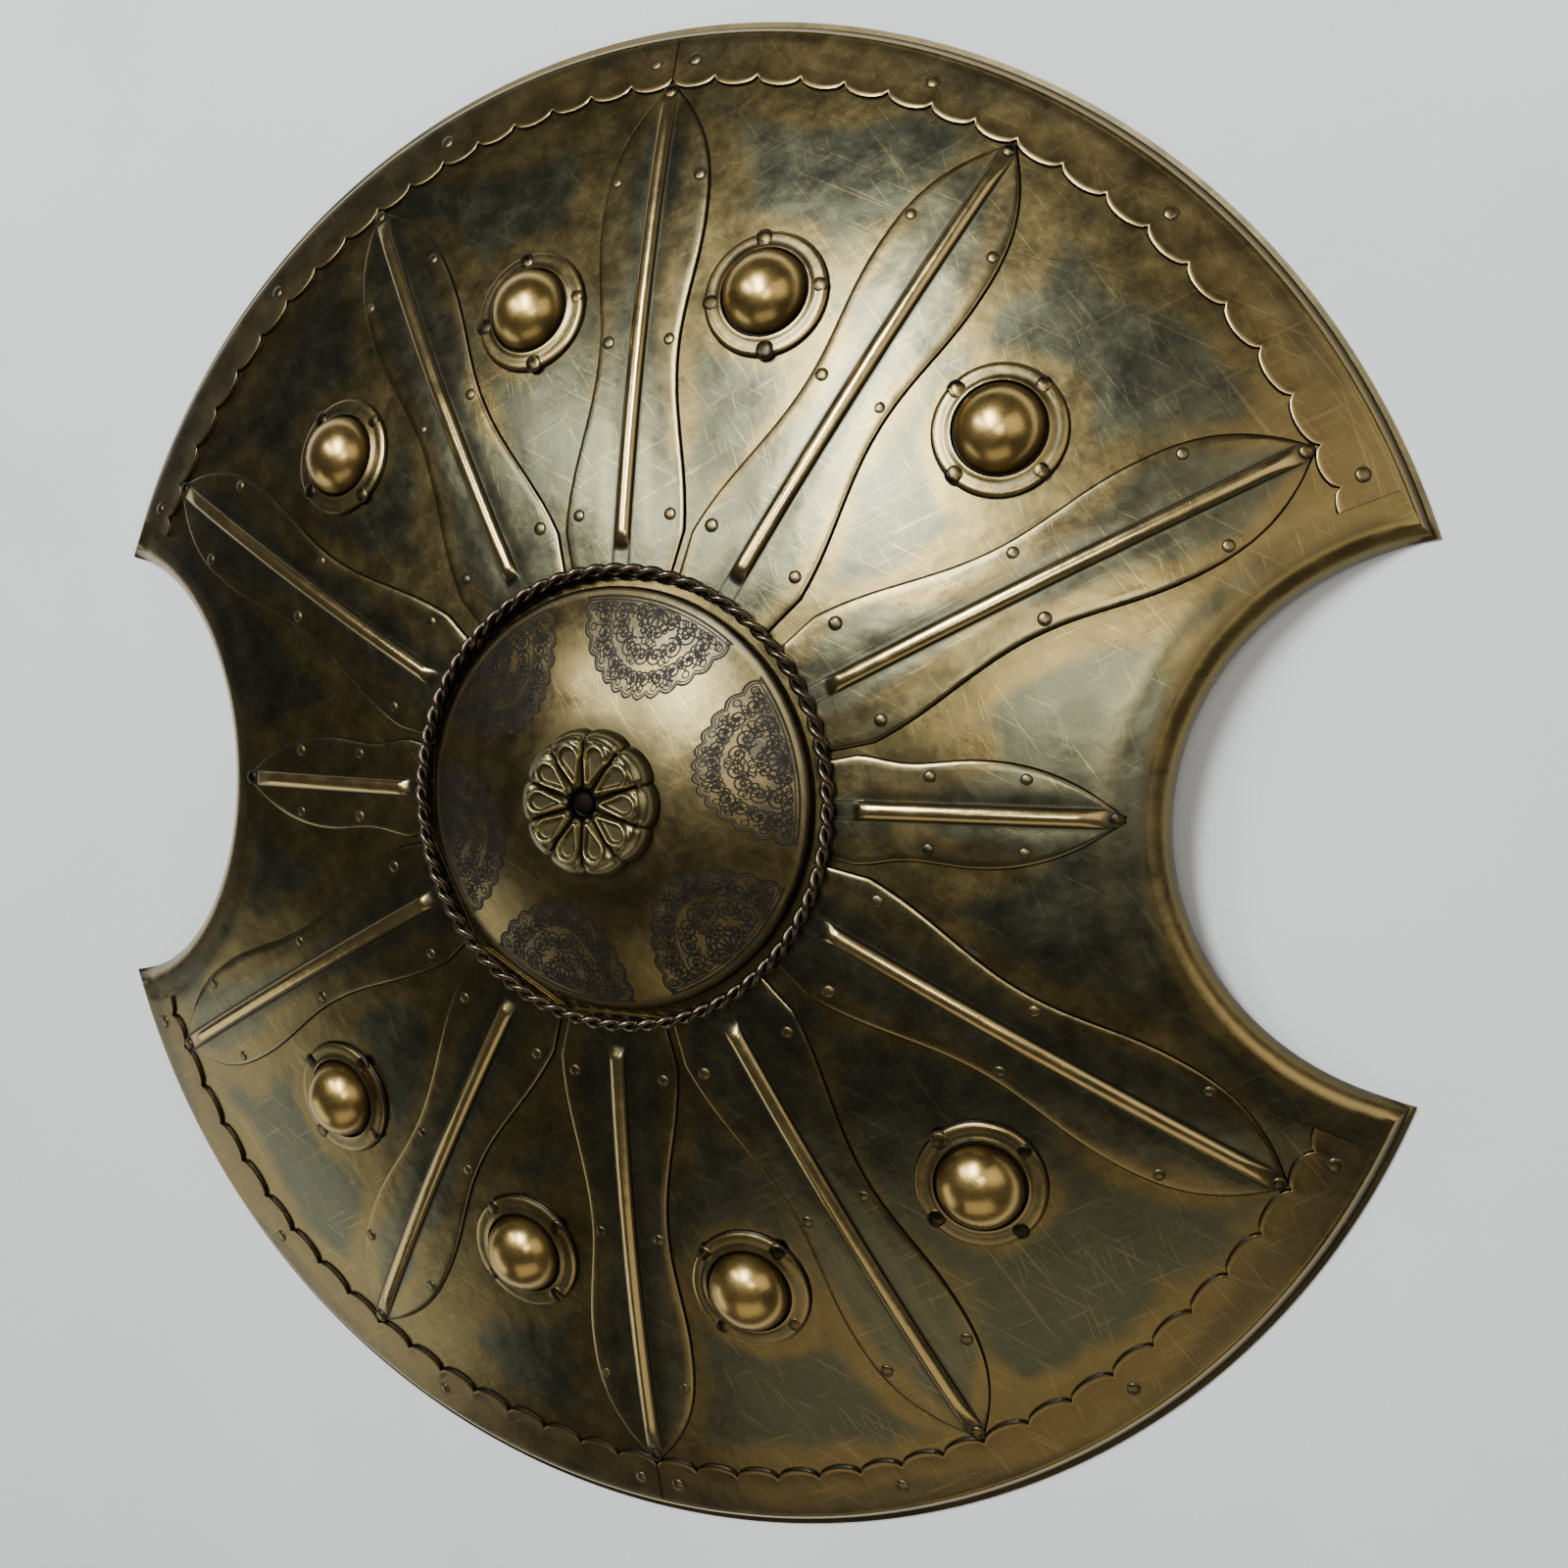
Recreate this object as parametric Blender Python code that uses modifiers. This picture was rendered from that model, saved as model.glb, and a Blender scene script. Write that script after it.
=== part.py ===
"""Round bronze shield with a bite cut from each side, lying face up on its hem.

Metres, +Z up. The origin is on the floor under the middle of the dish, +X points
to the right-hand bite and +Y to the top of the shield.
"""
from collections import namedtuple
from math import atan2, cos, degrees, pi, radians, sin, sqrt, tan

import bmesh
import bpy

# Base plate: a dish of sheet metal, its edge turned down into a skirt and a flat hem
RIM_RADIUS = 0.305
BITE_RADIUS = 0.100        # struck from a point on the rim, at the left and the right
PLATE_SHEET = 0.0012
DISH_CURVE = 0.900         # radius of the dish
DISH_APEX = 0.0565         # top of the plate above the floor, at the middle
HEM_WIDTH = 0.0020
SHOULDER_INSET = 0.0065    # where the dish turns down into the skirt
SKIRT_KNEE_WIDTH = 0.45    # share of the skirt's width from the hem to its knee
SKIRT_KNEE_HEIGHT = 0.75   # share of the skirt's height under the knee
BEAD_WIDTH = 0.0090        # rounded edge of a bite
BEAD_DEPTH = 0.0080
BEAD_RUN_OUT = 0.0080      # length over which the bead fades in from a tip

# Fits between pieces
SEAT_GAP = 0.0003
SEAM_GAP = 0.0006
LEAF_CLEARANCE = 0.0040    # between the feet of neighbouring leaves
TIP_CLEARANCE = 0.0020     # leaf tip to the notch of the border that it points into
BITE_CLEARANCE = 0.0140    # tip of a short leaf to the bite

# Scalloped border bands
BAND_SHEET = 0.0010
BAND_NOTCH_INSET = 0.0240  # notches of the scalloped edge, from the rim
SCALLOP_DEPTH = 0.0038
BAND_SETBACK = 0.0200      # end of a band to the tip of the rim
SCALLOPS_PER_BAY = 8       # a bay runs from one leaf tip to the next
END_SCALLOPS = 1.5         # past the last leaf tip

# Middle boss with its rosette and the screw that holds both
MIDDLE_RADIUS = 0.0810
MIDDLE_SHEET = 0.0012
MIDDLE_RISE = 0.0220
MIDDLE_WALL = 0.0060       # height of the turned-down edge
MIDDLE_ROUNDING = 0.0050
MIDDLE_KNEE_WIDTH = 0.25   # share of the rounding left outside its knee
MIDDLE_KNEE_HEIGHT = 0.65  # share of the wall under the knee
ROSETTE_RADIUS = 0.0280
ROSETTE_FACE_RADIUS = 0.0240
ROSETTE_HEIGHT = 0.0085
ROSETTE_PETALS = 10
ROSETTE_GROOVE = 0.0022
ROSETTE_NOTCH = 0.93       # radius in a groove as a share of the petal's
# Face of a petal: radius as a share of the face's, the share of it left in a groove, then
# how far the petal's flanks and its middle lie below the top, as shares of the groove's depth
PETAL_ROWS = ((1.05, ROSETTE_NOTCH, 0.7, 0.7),
              (0.94, ROSETTE_NOTCH, 0, 0),
              (0.68, 1, 0, 0.6),
              (0.40, 1, 0.3, 0.5))
ROSETTE_HOLE_RADIUS = 0.0058
ROSETTE_HOLE_DEPTH = 0.0050
ROSETTE_HOLE_TAPER = 0.9   # bottom of the hole as a share of its mouth
ROSETTE_EYE_DROP = 0.0022  # mouth of the hole below the top
SCREW_CLEARANCE = 0.0010
SCREW_HEIGHT = 0.0022
SCREW_CROWN = 0.7          # radius of the screw's flat top as a share of its head
SCREW_CROWN_DROP = 0.2     # fall of that top, as a share of the head's height
SCREW_SIDE = 0.3           # height of the head's side, as the same share

# Twisted wire ring round the middle boss
WIRE_CLEARANCE = 0.00325
WIRE_RING_THICKNESS = 0.0055
WIRE_RING_RADIUS = MIDDLE_RADIUS + WIRE_CLEARANCE + WIRE_RING_THICKNESS / 2

# Leaf plates, each with a raised half-round rib along its middle
LEAF_SHEET = 0.0010
SIDE_LEAF_ANGLE = 27.6     # degrees, from the short leaf at a bite
MID_LEAF_ANGLE = 60.2
FOOT_CLEARANCE = 0.0025    # middle boss to the feet of the leaves
LEAF_FOOT = MIDDLE_RADIUS + FOOT_CLEARANCE
RIB_CLEARANCE = 0.0100     # middle of the wire ring to the ribs
RIB_START = WIRE_RING_RADIUS + RIB_CLEARANCE
RIB_HALF_WIDTH = 0.0025
RIB_HEIGHT = 0.0026
RIB_RISE = 0.0030          # length of the rib's rounded end
RIB_TO_TIP = 0.0075        # from the rib's outer end to the leaf's tip
RIB_CREST = 0.5            # width of the rib's crest as a share of its foot
RIB_ROOM = 0.7             # share of a narrow leaf that its rib may cover
LEAF_TIP_HALF_WIDTH = 0.0006
LONG_FLARE_AT = 0.102      # places along a leaf are measured from the shield's middle
LONG_WAIST_AT = 0.170
LONG_WAIST_HALF = 0.0168
LONG_BULGE_AT = 0.224
LONG_BULGE_HALF = 0.0223
LONG_TIP_POWER = 2.6       # how full the leaf stays towards its tip
SHORT_FLARE_AT = 0.096
SHORT_WAIST_AT = 0.116
SHORT_WAIST_HALF = 0.0172
SHORT_BULGE_AT = 0.140
SHORT_BULGE_HALF = 0.0190
SHORT_TIP_POWER = 2.2
Leaf = namedtuple("Leaf", "flare_at waist_at waist_half bulge_at bulge_half tip_power")
LONG_LEAF = Leaf(LONG_FLARE_AT, LONG_WAIST_AT, LONG_WAIST_HALF,
                 LONG_BULGE_AT, LONG_BULGE_HALF, LONG_TIP_POWER)
SHORT_LEAF = Leaf(SHORT_FLARE_AT, SHORT_WAIST_AT, SHORT_WAIST_HALF,
                  SHORT_BULGE_AT, SHORT_BULGE_HALF, SHORT_TIP_POWER)

# Small bosses: a flange with a dome
BOSS_RADIUS = 0.0243
BOSS_SHEET = 0.0015
BOSS_CIRCLE = 0.1967       # radius of the circle that the bosses stand on
DOME_RADIUS = 0.0164
DOME_HEIGHT = 0.0130
DOME_RECESS = 0.0012       # from the dome to the lip of its flange
DOME_FOOT = 0.0008         # height of the dome's foot above the dish
LIP_HEIGHT = 0.0020        # inner edge of the flange above the dish
FLANGE_BEVEL = 0.0008

# Leather straps on the back: place along X, width, span between the loop's ends, drop
ARM_STRAP_PLACE = 0.075
ARM_STRAP_WIDTH = 0.050
ARM_STRAP_SPAN = 0.124
ARM_STRAP_DROP = 0.036
ARM_STRAP_LEATHER = 0.0035
HAND_STRAP_PLACE = -0.105
HAND_STRAP_WIDTH = 0.032
HAND_STRAP_SPAN = 0.104
HAND_STRAP_DROP = 0.034
HAND_STRAP_LEATHER = 0.0045
Strap = namedtuple("Strap", "place width span drop leather")
ARM_STRAP = Strap(ARM_STRAP_PLACE, ARM_STRAP_WIDTH, ARM_STRAP_SPAN, ARM_STRAP_DROP,
                  ARM_STRAP_LEATHER)
HAND_STRAP = Strap(HAND_STRAP_PLACE, HAND_STRAP_WIDTH, HAND_STRAP_SPAN, HAND_STRAP_DROP,
                   HAND_STRAP_LEATHER)
STRAP_FOOT = 0.030         # length riveted flat against the plate
STRAP_GAP = 0.0012
LOOP_FLATNESS = 2.6        # how long the loop stays low before it turns up to its feet
LOOP_ROUNDING = 0.75

# Facets
RIM_STEPS = 22
BITE_STEPS = 12
EDGE_ROWS = 3
TURN_STEPS = 30
WIRE_STEPS = 36
WIRE_SIDES = 6
SMALL_STEPS = 12
DOME_STEPS = 3
SCREW_STEPS = 7
PETAL_STEPS = 4
LOOP_STEPS = 10
OUTER_RINGS = (0.12, 0.30) # places of the outer rings, as shares of the waist from the edge
INNER_RING_RADIUS = 0.045  # smallest ring of facets of the base plate
INNER_RINGS = 4


def plate_top(radius):
    """Height of the dish's upper face."""
    return DISH_APEX - radius ** 2 / (2 * DISH_CURVE)


def plate_under(radius):
    """Height of the dish's underside, a sheet's thickness square to the upper face."""
    return plate_top(radius) - PLATE_SHEET * sqrt(1 + (radius / DISH_CURVE) ** 2)


def edge_profile():
    """Skirt from the hem's edge up to the shoulder, as (inset from the rim, height)."""
    shoulder = plate_top(RIM_RADIUS - SHOULDER_INSET)
    skirt_width = SHOULDER_INSET - HEM_WIDTH
    skirt_height = shoulder - PLATE_SHEET
    return [(0, PLATE_SHEET),
            (HEM_WIDTH, PLATE_SHEET),
            (HEM_WIDTH + skirt_width * SKIRT_KNEE_WIDTH,
             PLATE_SHEET + skirt_height * SKIRT_KNEE_HEIGHT),
            (SHOULDER_INSET, shoulder)]


def plate_surface(radius):
    """Height of the upper face with the skirt and the hem."""
    inset = RIM_RADIUS - radius
    profile = edge_profile()
    if inset >= profile[-1][0]:
        return plate_top(radius)
    for (near, low), (far, high) in zip(profile, profile[1:]):
        if inset <= far:
            share = max(0, inset - near) / (far - near)
            return low + (high - low) * share
    return plate_top(radius)


def tip_angle(rim_inset=0, bite_inset=0):
    """Angle of the upper right tip at the middle of the shield and at the bite's centre."""
    rim = RIM_RADIUS - rim_inset
    bite = BITE_RADIUS + bite_inset
    across = (rim ** 2 - bite ** 2 + RIM_RADIUS ** 2) / (2 * RIM_RADIUS)
    up = sqrt(rim ** 2 - across ** 2)
    return atan2(up, across), atan2(up, RIM_RADIUS - across)


def outline(rim_inset, bite_inset):
    """Points round the shield, moved inwards, with True for those on a bite."""
    rim_tip, bite_tip = tip_angle(rim_inset, bite_inset)
    rim = RIM_RADIUS - rim_inset
    bite = BITE_RADIUS + bite_inset
    run_out = BEAD_RUN_OUT / bite
    half = []
    for step in range(BITE_STEPS):
        angle = -bite_tip
        if step:
            share = (step - 1) / (BITE_STEPS - 2)
            angle = (bite_tip - run_out) * (2 * share - 1)
        half.append((RIM_RADIUS - bite * cos(angle), bite * sin(angle), step > 0))
    for step in range(RIM_STEPS):
        angle = rim_tip + (pi - 2 * rim_tip) * step / RIM_STEPS
        half.append((rim * cos(angle), rim * sin(angle), False))
    return half + [(-x, -y, on_bite) for x, y, on_bite in half]


def mesh_object(name, bm, collection, colour, roughness, metallic=1.0):
    """Turn a bmesh into a named object with its own material."""
    mesh = bpy.data.meshes.new(name)
    bm.to_mesh(mesh)
    bm.free()
    obj = bpy.data.objects.new(name, mesh)
    collection.objects.link(obj)
    finish(obj, colour, roughness, metallic)
    return obj


def finish(obj, colour, roughness, metallic=1.0):
    """Give an object its own Principled material and smooth shading."""
    material = bpy.data.materials.new(obj.name)
    material.use_nodes = True
    shader = material.node_tree.nodes["Principled BSDF"]
    shader.inputs["Base Color"].default_value = (*colour, 1)
    shader.inputs["Roughness"].default_value = roughness
    shader.inputs["Metallic"].default_value = metallic
    obj.data.materials.clear()
    obj.data.materials.append(material)
    obj.data.shade_smooth()
    obj.data.set_sharp_from_angle(angle=radians(35))


def solidify(obj, thickness):
    """Give an open surface its wall, below the modelled face."""
    wall = obj.modifiers.new("Wall", "SOLIDIFY")
    wall.thickness = thickness
    wall.offset = -1
    wall.use_even_offset = True


def turn(name, profile, steps, collection, colour, roughness):
    """Turn a profile, given from the top down its outer side, about Z."""
    mesh = bpy.data.meshes.new(name)
    edges = [(i, i + 1) for i in range(len(profile) - 1)]
    mesh.from_pydata([(radius, 0, height) for radius, height in profile], edges, [])
    obj = bpy.data.objects.new(name, mesh)
    collection.objects.link(obj)
    screw = obj.modifiers.new("Turn", "SCREW")
    screw.steps = steps
    screw.render_steps = steps
    screw.use_merge_vertices = True
    screw.merge_threshold = 0.00001
    screw.use_smooth_shade = True
    finish(obj, colour, roughness)
    return obj


def loft(rings, first_cap=None, last_cap=None):
    """Join rings of as many points each. An end is closed by a fan to its cap point,
    or by one face where the cap is "face"."""
    bm = bmesh.new()
    rows = [[bm.verts.new(point) for point in ring] for ring in rings]
    for row, next_row in zip(rows, rows[1:]):
        for i in range(len(row)):
            j = (i + 1) % len(row)
            bm.faces.new((row[i], row[j], next_row[j], next_row[i]))
    for row, cap in ((rows[0][::-1], first_cap), (rows[-1], last_cap)):
        if cap == "face":
            bm.faces.new(row)
        elif cap:
            middle = bm.verts.new(cap)
            for i in range(len(row)):
                bm.faces.new((row[i], row[(i + 1) % len(row)], middle))
    bmesh.ops.recalc_face_normals(bm, faces=bm.faces)
    return bm


def bead_profile():
    """Rounded edge of a bite, as (inset from the bite, height over the dish)."""
    profile = []
    for row in range(EDGE_ROWS + 1):
        turned = pi / 2 * row / EDGE_ROWS
        profile.append((BEAD_WIDTH * (1 - cos(turned)), BEAD_DEPTH * (sin(turned) - 1)))
    return profile


def wall_below(profile, last_drop):
    """Profile moved square to itself by the sheet's thickness, down and inwards."""
    normals = []
    for (inset, height), (next_inset, next_height) in zip(profile, profile[1:]):
        run = next_inset - inset
        rise = next_height - height
        length = sqrt(run * run + rise * rise)
        normals.append((rise / length, -run / length))
    moved = []
    for i, (inset, height) in enumerate(profile[:-1]):
        first = normals[max(0, i - 1)]
        second = normals[i]
        spread = 1 + first[0] * second[0] + first[1] * second[1]
        moved.append((inset + PLATE_SHEET * (first[0] + second[0]) / spread,
                      height + PLATE_SHEET * (first[1] + second[1]) / spread))
    return moved + [(profile[-1][0], profile[-1][1] - last_drop)]


def edge_ring(rim_point, bead_point, lowest):
    """Ring of points along the skirt and the beads."""
    ring = []
    for x, y, on_bite in outline(rim_point[0], bead_point[0]):
        height = rim_point[1]
        if on_bite:
            height = max(lowest, plate_surface(sqrt(x * x + y * y)) + bead_point[1])
        ring.append((x, y, height))
    return ring


def dish_rings(height_of):
    """Rings of points over the dish, from the skirt in towards the middle."""
    waist = RIM_RADIUS - BITE_RADIUS
    rings = [outline(waist * share, waist * share) for share in OUTER_RINGS]
    widest = rings[-1]
    for step in range(1, INNER_RINGS + 1):
        share = step / INNER_RINGS
        ring = []
        for x, y, on_bite in widest:
            angle = atan2(y, x)
            x += (INNER_RING_RADIUS * cos(angle) - x) * share
            y += (INNER_RING_RADIUS * sin(angle) - y) * share
            ring.append((x, y, on_bite))
        rings.append(ring)
    return [[(x, y, height_of(sqrt(x * x + y * y))) for x, y, _ in ring] for ring in rings]


def make_base_plate(collection):
    shoulder = RIM_RADIUS - SHOULDER_INSET
    skirt = edge_profile()
    bead = bead_profile()
    skirt_below = wall_below(skirt, plate_top(shoulder) - plate_under(shoulder))
    bead_below = wall_below(bead, plate_top(shoulder) - plate_under(shoulder))
    top = [edge_ring(*points, PLATE_SHEET) for points in zip(skirt, bead)]
    under = [edge_ring(*points, 0) for points in zip(skirt_below, bead_below)]
    rings = (top + dish_rings(plate_top))[::-1] + under + dish_rings(plate_under)
    bm = loft(rings, (0, 0, plate_top(0)), (0, 0, plate_under(0)))
    mesh_object("base_plate", bm, collection, (0.30, 0.24, 0.13), 0.38)


def notch_angles():
    """Angles of the notches of the upper right band, from the top to its end, in degrees."""
    end = degrees(tip_angle()[0] + BAND_SETBACK / RIM_RADIUS)
    angles = []
    for start, stop in ((90, MID_LEAF_ANGLE), (MID_LEAF_ANGLE, SIDE_LEAF_ANGLE)):
        for step in range(SCALLOPS_PER_BAY):
            angles.append(start + (stop - start) * step / SCALLOPS_PER_BAY)
    pitch = (SIDE_LEAF_ANGLE - end) / END_SCALLOPS
    angles += [SIDE_LEAF_ANGLE, SIDE_LEAF_ANGLE - pitch]
    return angles, pitch


def scalloped_edge():
    """Inner edge of the upper right band as (angle in degrees, radius)."""
    angles, end_pitch = notch_angles()
    lobes = [(start, stop, (0, 0.25, 0.75)) for start, stop in zip(angles, angles[1:])]
    half_lobe = (angles[-1], angles[-1] - end_pitch, (0, 0.25, 0.5))
    edge = []
    for start, stop, shares in lobes + [half_lobe]:
        for share in shares:
            depth = SCALLOP_DEPTH * sqrt(sin(pi * share))
            edge.append((start + (stop - start) * share, RIM_RADIUS - BAND_NOTCH_INSET - depth))
    return edge


def make_band(name, across, up, collection):
    """One border band; across and up are the signs of its quarter."""
    outer = RIM_RADIUS - SHOULDER_INSET - SEAT_GAP
    rings = []
    for angle, inner in scalloped_edge():
        section = []
        for radius, lift in ((inner, 0), (outer, 0), (outer, BAND_SHEET), (inner, BAND_SHEET)):
            x = radius * cos(radians(angle))
            y = radius * sin(radians(angle))
            height = plate_top(radius) + SEAT_GAP + lift
            section.append((across * max(x, SEAM_GAP / 2), up * y, height))
        rings.append(section)
    mesh_object(name, loft(rings, "face", "face"), collection, (0.36, 0.25, 0.12), 0.36)


def blend(start, stop, share):
    """Smooth change from start to stop."""
    return start + (stop - start) * (1 - cos(pi * share)) / 2


def foot_half_width(distance, spacing):
    """Half of the room between neighbouring leaves at this distance from the middle."""
    return distance * tan(radians(spacing) / 2) - LEAF_CLEARANCE / 2


def leaf_stations(leaf, tip, flare_half, foot_half):
    """Half widths along a leaf as (distance from the middle, half width)."""
    stations = [(LEAF_FOOT, foot_half)]
    for share in (0, 0.5):
        stations.append((leaf.flare_at + (leaf.waist_at - leaf.flare_at) * share,
                         blend(flare_half, leaf.waist_half, share)))
    for share in (0, 0.5):
        stations.append((leaf.waist_at + (leaf.bulge_at - leaf.waist_at) * share,
                         blend(leaf.waist_half, leaf.bulge_half, share)))
    for share in (0, 0.38, 0.70, 0.90, 1):
        width = leaf.bulge_half * (1 - share ** leaf.tip_power)
        stations.append((leaf.bulge_at + (tip - leaf.bulge_at) * share,
                         max(width, LEAF_TIP_HALF_WIDTH)))
    return stations


def width_at(stations, distance):
    for (near, first), (far, second) in zip(stations, stations[1:]):
        if near <= distance <= far:
            return first + (second - first) * (distance - near) / (far - near)
    return stations[-1][1]


def make_leaf(name, leaf, tip, flare_half, foot_half, angle, collection):
    """One leaf plate, lying on the dish, with its rib."""
    stations = leaf_stations(leaf, tip, flare_half, foot_half)
    ends = [(place, width_at(stations, place)) for place in (RIB_START, RIB_START + RIB_RISE)]
    rings = []
    for along, half in sorted(stations + ends):
        rib = min(RIB_HALF_WIDTH, half * RIB_ROOM)
        crest = rib * RIB_CREST
        raised = LEAF_SHEET
        if RIB_START < along < tip - RIB_TO_TIP:
            raised += RIB_HEIGHT * rib / RIB_HALF_WIDTH
        section = [(-half, LEAF_SHEET), (-rib, LEAF_SHEET), (-crest, raised), (crest, raised),
                   (rib, LEAF_SHEET), (half, LEAF_SHEET), (half, 0), (0, 0), (-half, 0)]
        ring = []
        for across, lift in section:
            radius = sqrt(along ** 2 + across ** 2)
            turned = radians(angle) + atan2(across, along)
            ring.append((radius * cos(turned), radius * sin(turned),
                         plate_top(radius) + SEAT_GAP + lift))
        rings.append(ring)
    mesh_object(name, loft(rings, "face", "face"), collection, (0.33, 0.28, 0.17), 0.34)


def make_leaves(collection):
    tip = RIM_RADIUS - BAND_NOTCH_INSET - TIP_CLEARANCE
    short_tip = RIM_RADIUS - BITE_RADIUS - BITE_CLEARANCE
    narrow = min(90 - MID_LEAF_ANGLE, MID_LEAF_ANGLE - SIDE_LEAF_ANGLE)
    flare = foot_half_width(LONG_LEAF.flare_at, narrow)
    foot = foot_half_width(LEAF_FOOT, narrow)
    room = 2 * foot_half_width(SHORT_LEAF.flare_at, SIDE_LEAF_ANGLE)
    short_flare = room - flare * SHORT_LEAF.flare_at / LONG_LEAF.flare_at
    short_foot = 2 * foot_half_width(LEAF_FOOT, SIDE_LEAF_ANGLE) - foot
    angles = {}
    for number, angle in enumerate((0, SIDE_LEAF_ANGLE, MID_LEAF_ANGLE, 90)):
        angles[number] = angle
        angles[6 - number] = 180 - angle
        angles[(6 + number) % 12] = 180 + angle
        angles[(12 - number) % 12] = (360 - angle) % 360
    for number in sorted(angles):
        name = "leaf_plate_%02d" % (number + 1)
        if number in (0, 6):
            make_leaf(name, SHORT_LEAF, short_tip, short_flare, short_foot, angles[number], collection)
        else:
            make_leaf(name, LONG_LEAF, tip, flare, foot, angles[number], collection)


def make_small_bosses(collection):
    """Eight bosses, each midway between two long leaves, square to the dish."""
    profile = []
    for step in range(DOME_STEPS + 1):
        angle = pi / 2 * step / DOME_STEPS
        profile.append((DOME_RADIUS * sin(angle), DOME_FOOT + DOME_HEIGHT * cos(angle)))
    profile.append((DOME_RADIUS + DOME_RECESS, LIP_HEIGHT))
    profile.append((BOSS_RADIUS - FLANGE_BEVEL, BOSS_SHEET))
    profile.append((BOSS_RADIUS, 0))
    profile.append((0, 0))
    high = (90 + MID_LEAF_ANGLE) / 2
    low = (MID_LEAF_ANGLE + SIDE_LEAF_ANGLE) / 2
    angles = [low, high, 180 - high, 180 - low, 180 + low, 180 + high, 360 - high, 360 - low]
    slope = BOSS_CIRCLE / DISH_CURVE
    for number, angle in enumerate(angles):
        boss = turn("small_boss_%d" % (number + 1), profile, SMALL_STEPS, collection,
                    (0.48, 0.32, 0.12), 0.27)
        boss.location = (BOSS_CIRCLE * cos(radians(angle)), BOSS_CIRCLE * sin(radians(angle)),
                         plate_top(BOSS_CIRCLE) + SEAT_GAP)
        boss.rotation_euler = (0, atan2(slope, 1), radians(angle))


def middle_top(radius):
    """Height of the middle boss's upper face inside its rounded edge."""
    foot = plate_top(MIDDLE_RADIUS) + SEAT_GAP
    edge = MIDDLE_RADIUS - MIDDLE_ROUNDING
    fall = (MIDDLE_RISE - MIDDLE_WALL) * (radius / edge) ** 2
    return foot + MIDDLE_RISE - fall


def make_middle_boss(collection):
    foot = plate_top(MIDDLE_RADIUS) + SEAT_GAP
    edge = MIDDLE_RADIUS - MIDDLE_ROUNDING
    profile = [(0, middle_top(0))]
    for radius in (ROSETTE_RADIUS, (ROSETTE_RADIUS + edge) / 2, edge):
        profile.append((radius, middle_top(radius)))
    profile.append((MIDDLE_RADIUS - MIDDLE_ROUNDING * MIDDLE_KNEE_WIDTH,
                    foot + MIDDLE_WALL * MIDDLE_KNEE_HEIGHT))
    profile.append((MIDDLE_RADIUS, foot + MIDDLE_SHEET))
    profile.append((MIDDLE_RADIUS, foot))
    boss = turn("middle_boss", profile, TURN_STEPS, collection, (0.34, 0.25, 0.13), 0.33)
    solidify(boss, MIDDLE_SHEET)


def make_rosette(collection):
    """Cast flower: petals with a sunk drop each, grooves between, a hole in the middle."""
    seat = middle_top(ROSETTE_RADIUS) + SEAT_GAP
    under = middle_top(ROSETTE_RADIUS / 2) + SEAT_GAP
    top = middle_top(0) + ROSETTE_HEIGHT
    in_groove = top - ROSETTE_GROOVE
    mouth = top - ROSETTE_EYE_DROP
    floor = top - ROSETTE_HOLE_DEPTH
    # Radius, share of it in a groove, and the heights in the groove, on a flank and in the middle
    rows = [(ROSETTE_RADIUS / 2, 1, under, under, under),
            (ROSETTE_RADIUS, ROSETTE_NOTCH, seat, seat, seat)]
    for share, notch, flank_drop, middle_drop in PETAL_ROWS:
        rows.append((ROSETTE_FACE_RADIUS * share, notch, in_groove,
                     top - ROSETTE_GROOVE * flank_drop, top - ROSETTE_GROOVE * middle_drop))
    rows.append((ROSETTE_HOLE_RADIUS, 1, mouth, mouth, mouth))
    rows.append((ROSETTE_HOLE_RADIUS * ROSETTE_HOLE_TAPER, 1, floor, floor, floor))
    rings = []
    for radius, notch, groove, flank, middle in rows:
        ring = []
        for step in range(ROSETTE_PETALS * PETAL_STEPS):
            place = step % PETAL_STEPS
            height = (groove, flank, middle, flank)[place]
            reach = radius if place else radius * notch
            angle = 2 * pi * (step / PETAL_STEPS + 0.5) / ROSETTE_PETALS
            ring.append((reach * cos(angle), reach * sin(angle), height))
        rings.append(ring)
    bm = loft(rings, (0, 0, middle_top(0) + SEAT_GAP), (0, 0, floor))
    mesh_object("rosette", bm, collection, (0.40, 0.33, 0.20), 0.30)


def make_rosette_screw(collection):
    radius = ROSETTE_HOLE_RADIUS * ROSETTE_HOLE_TAPER - SCREW_CLEARANCE
    floor = middle_top(0) + ROSETTE_HEIGHT - ROSETTE_HOLE_DEPTH + SEAT_GAP
    profile = [(0, floor + SCREW_HEIGHT),
               (radius * SCREW_CROWN, floor + SCREW_HEIGHT * (1 - SCREW_CROWN_DROP)),
               (radius, floor + SCREW_HEIGHT * SCREW_SIDE),
               (radius, floor),
               (0, floor)]
    turn("rosette_screw", profile, SCREW_STEPS, collection, (0.12, 0.10, 0.08), 0.45)


def make_wire_ring(collection):
    """Two wires twisted together and bent round the foot of the middle boss."""
    leaf_top = plate_top(WIRE_RING_RADIUS) + SEAT_GAP + LEAF_SHEET
    bpy.ops.mesh.primitive_torus_add(
        major_radius=WIRE_RING_RADIUS, minor_radius=WIRE_RING_THICKNESS / 2,
        major_segments=WIRE_STEPS, minor_segments=WIRE_SIDES,
        location=(0, 0, leaf_top + 2 * SEAT_GAP + WIRE_RING_THICKNESS / 2))
    ring = bpy.context.object
    ring.name = "wire_ring"
    ring.data.name = "wire_ring"
    for owner in list(ring.users_collection):
        owner.objects.unlink(ring)
    collection.objects.link(ring)
    finish(ring, (0.30, 0.26, 0.20), 0.35)


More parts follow.
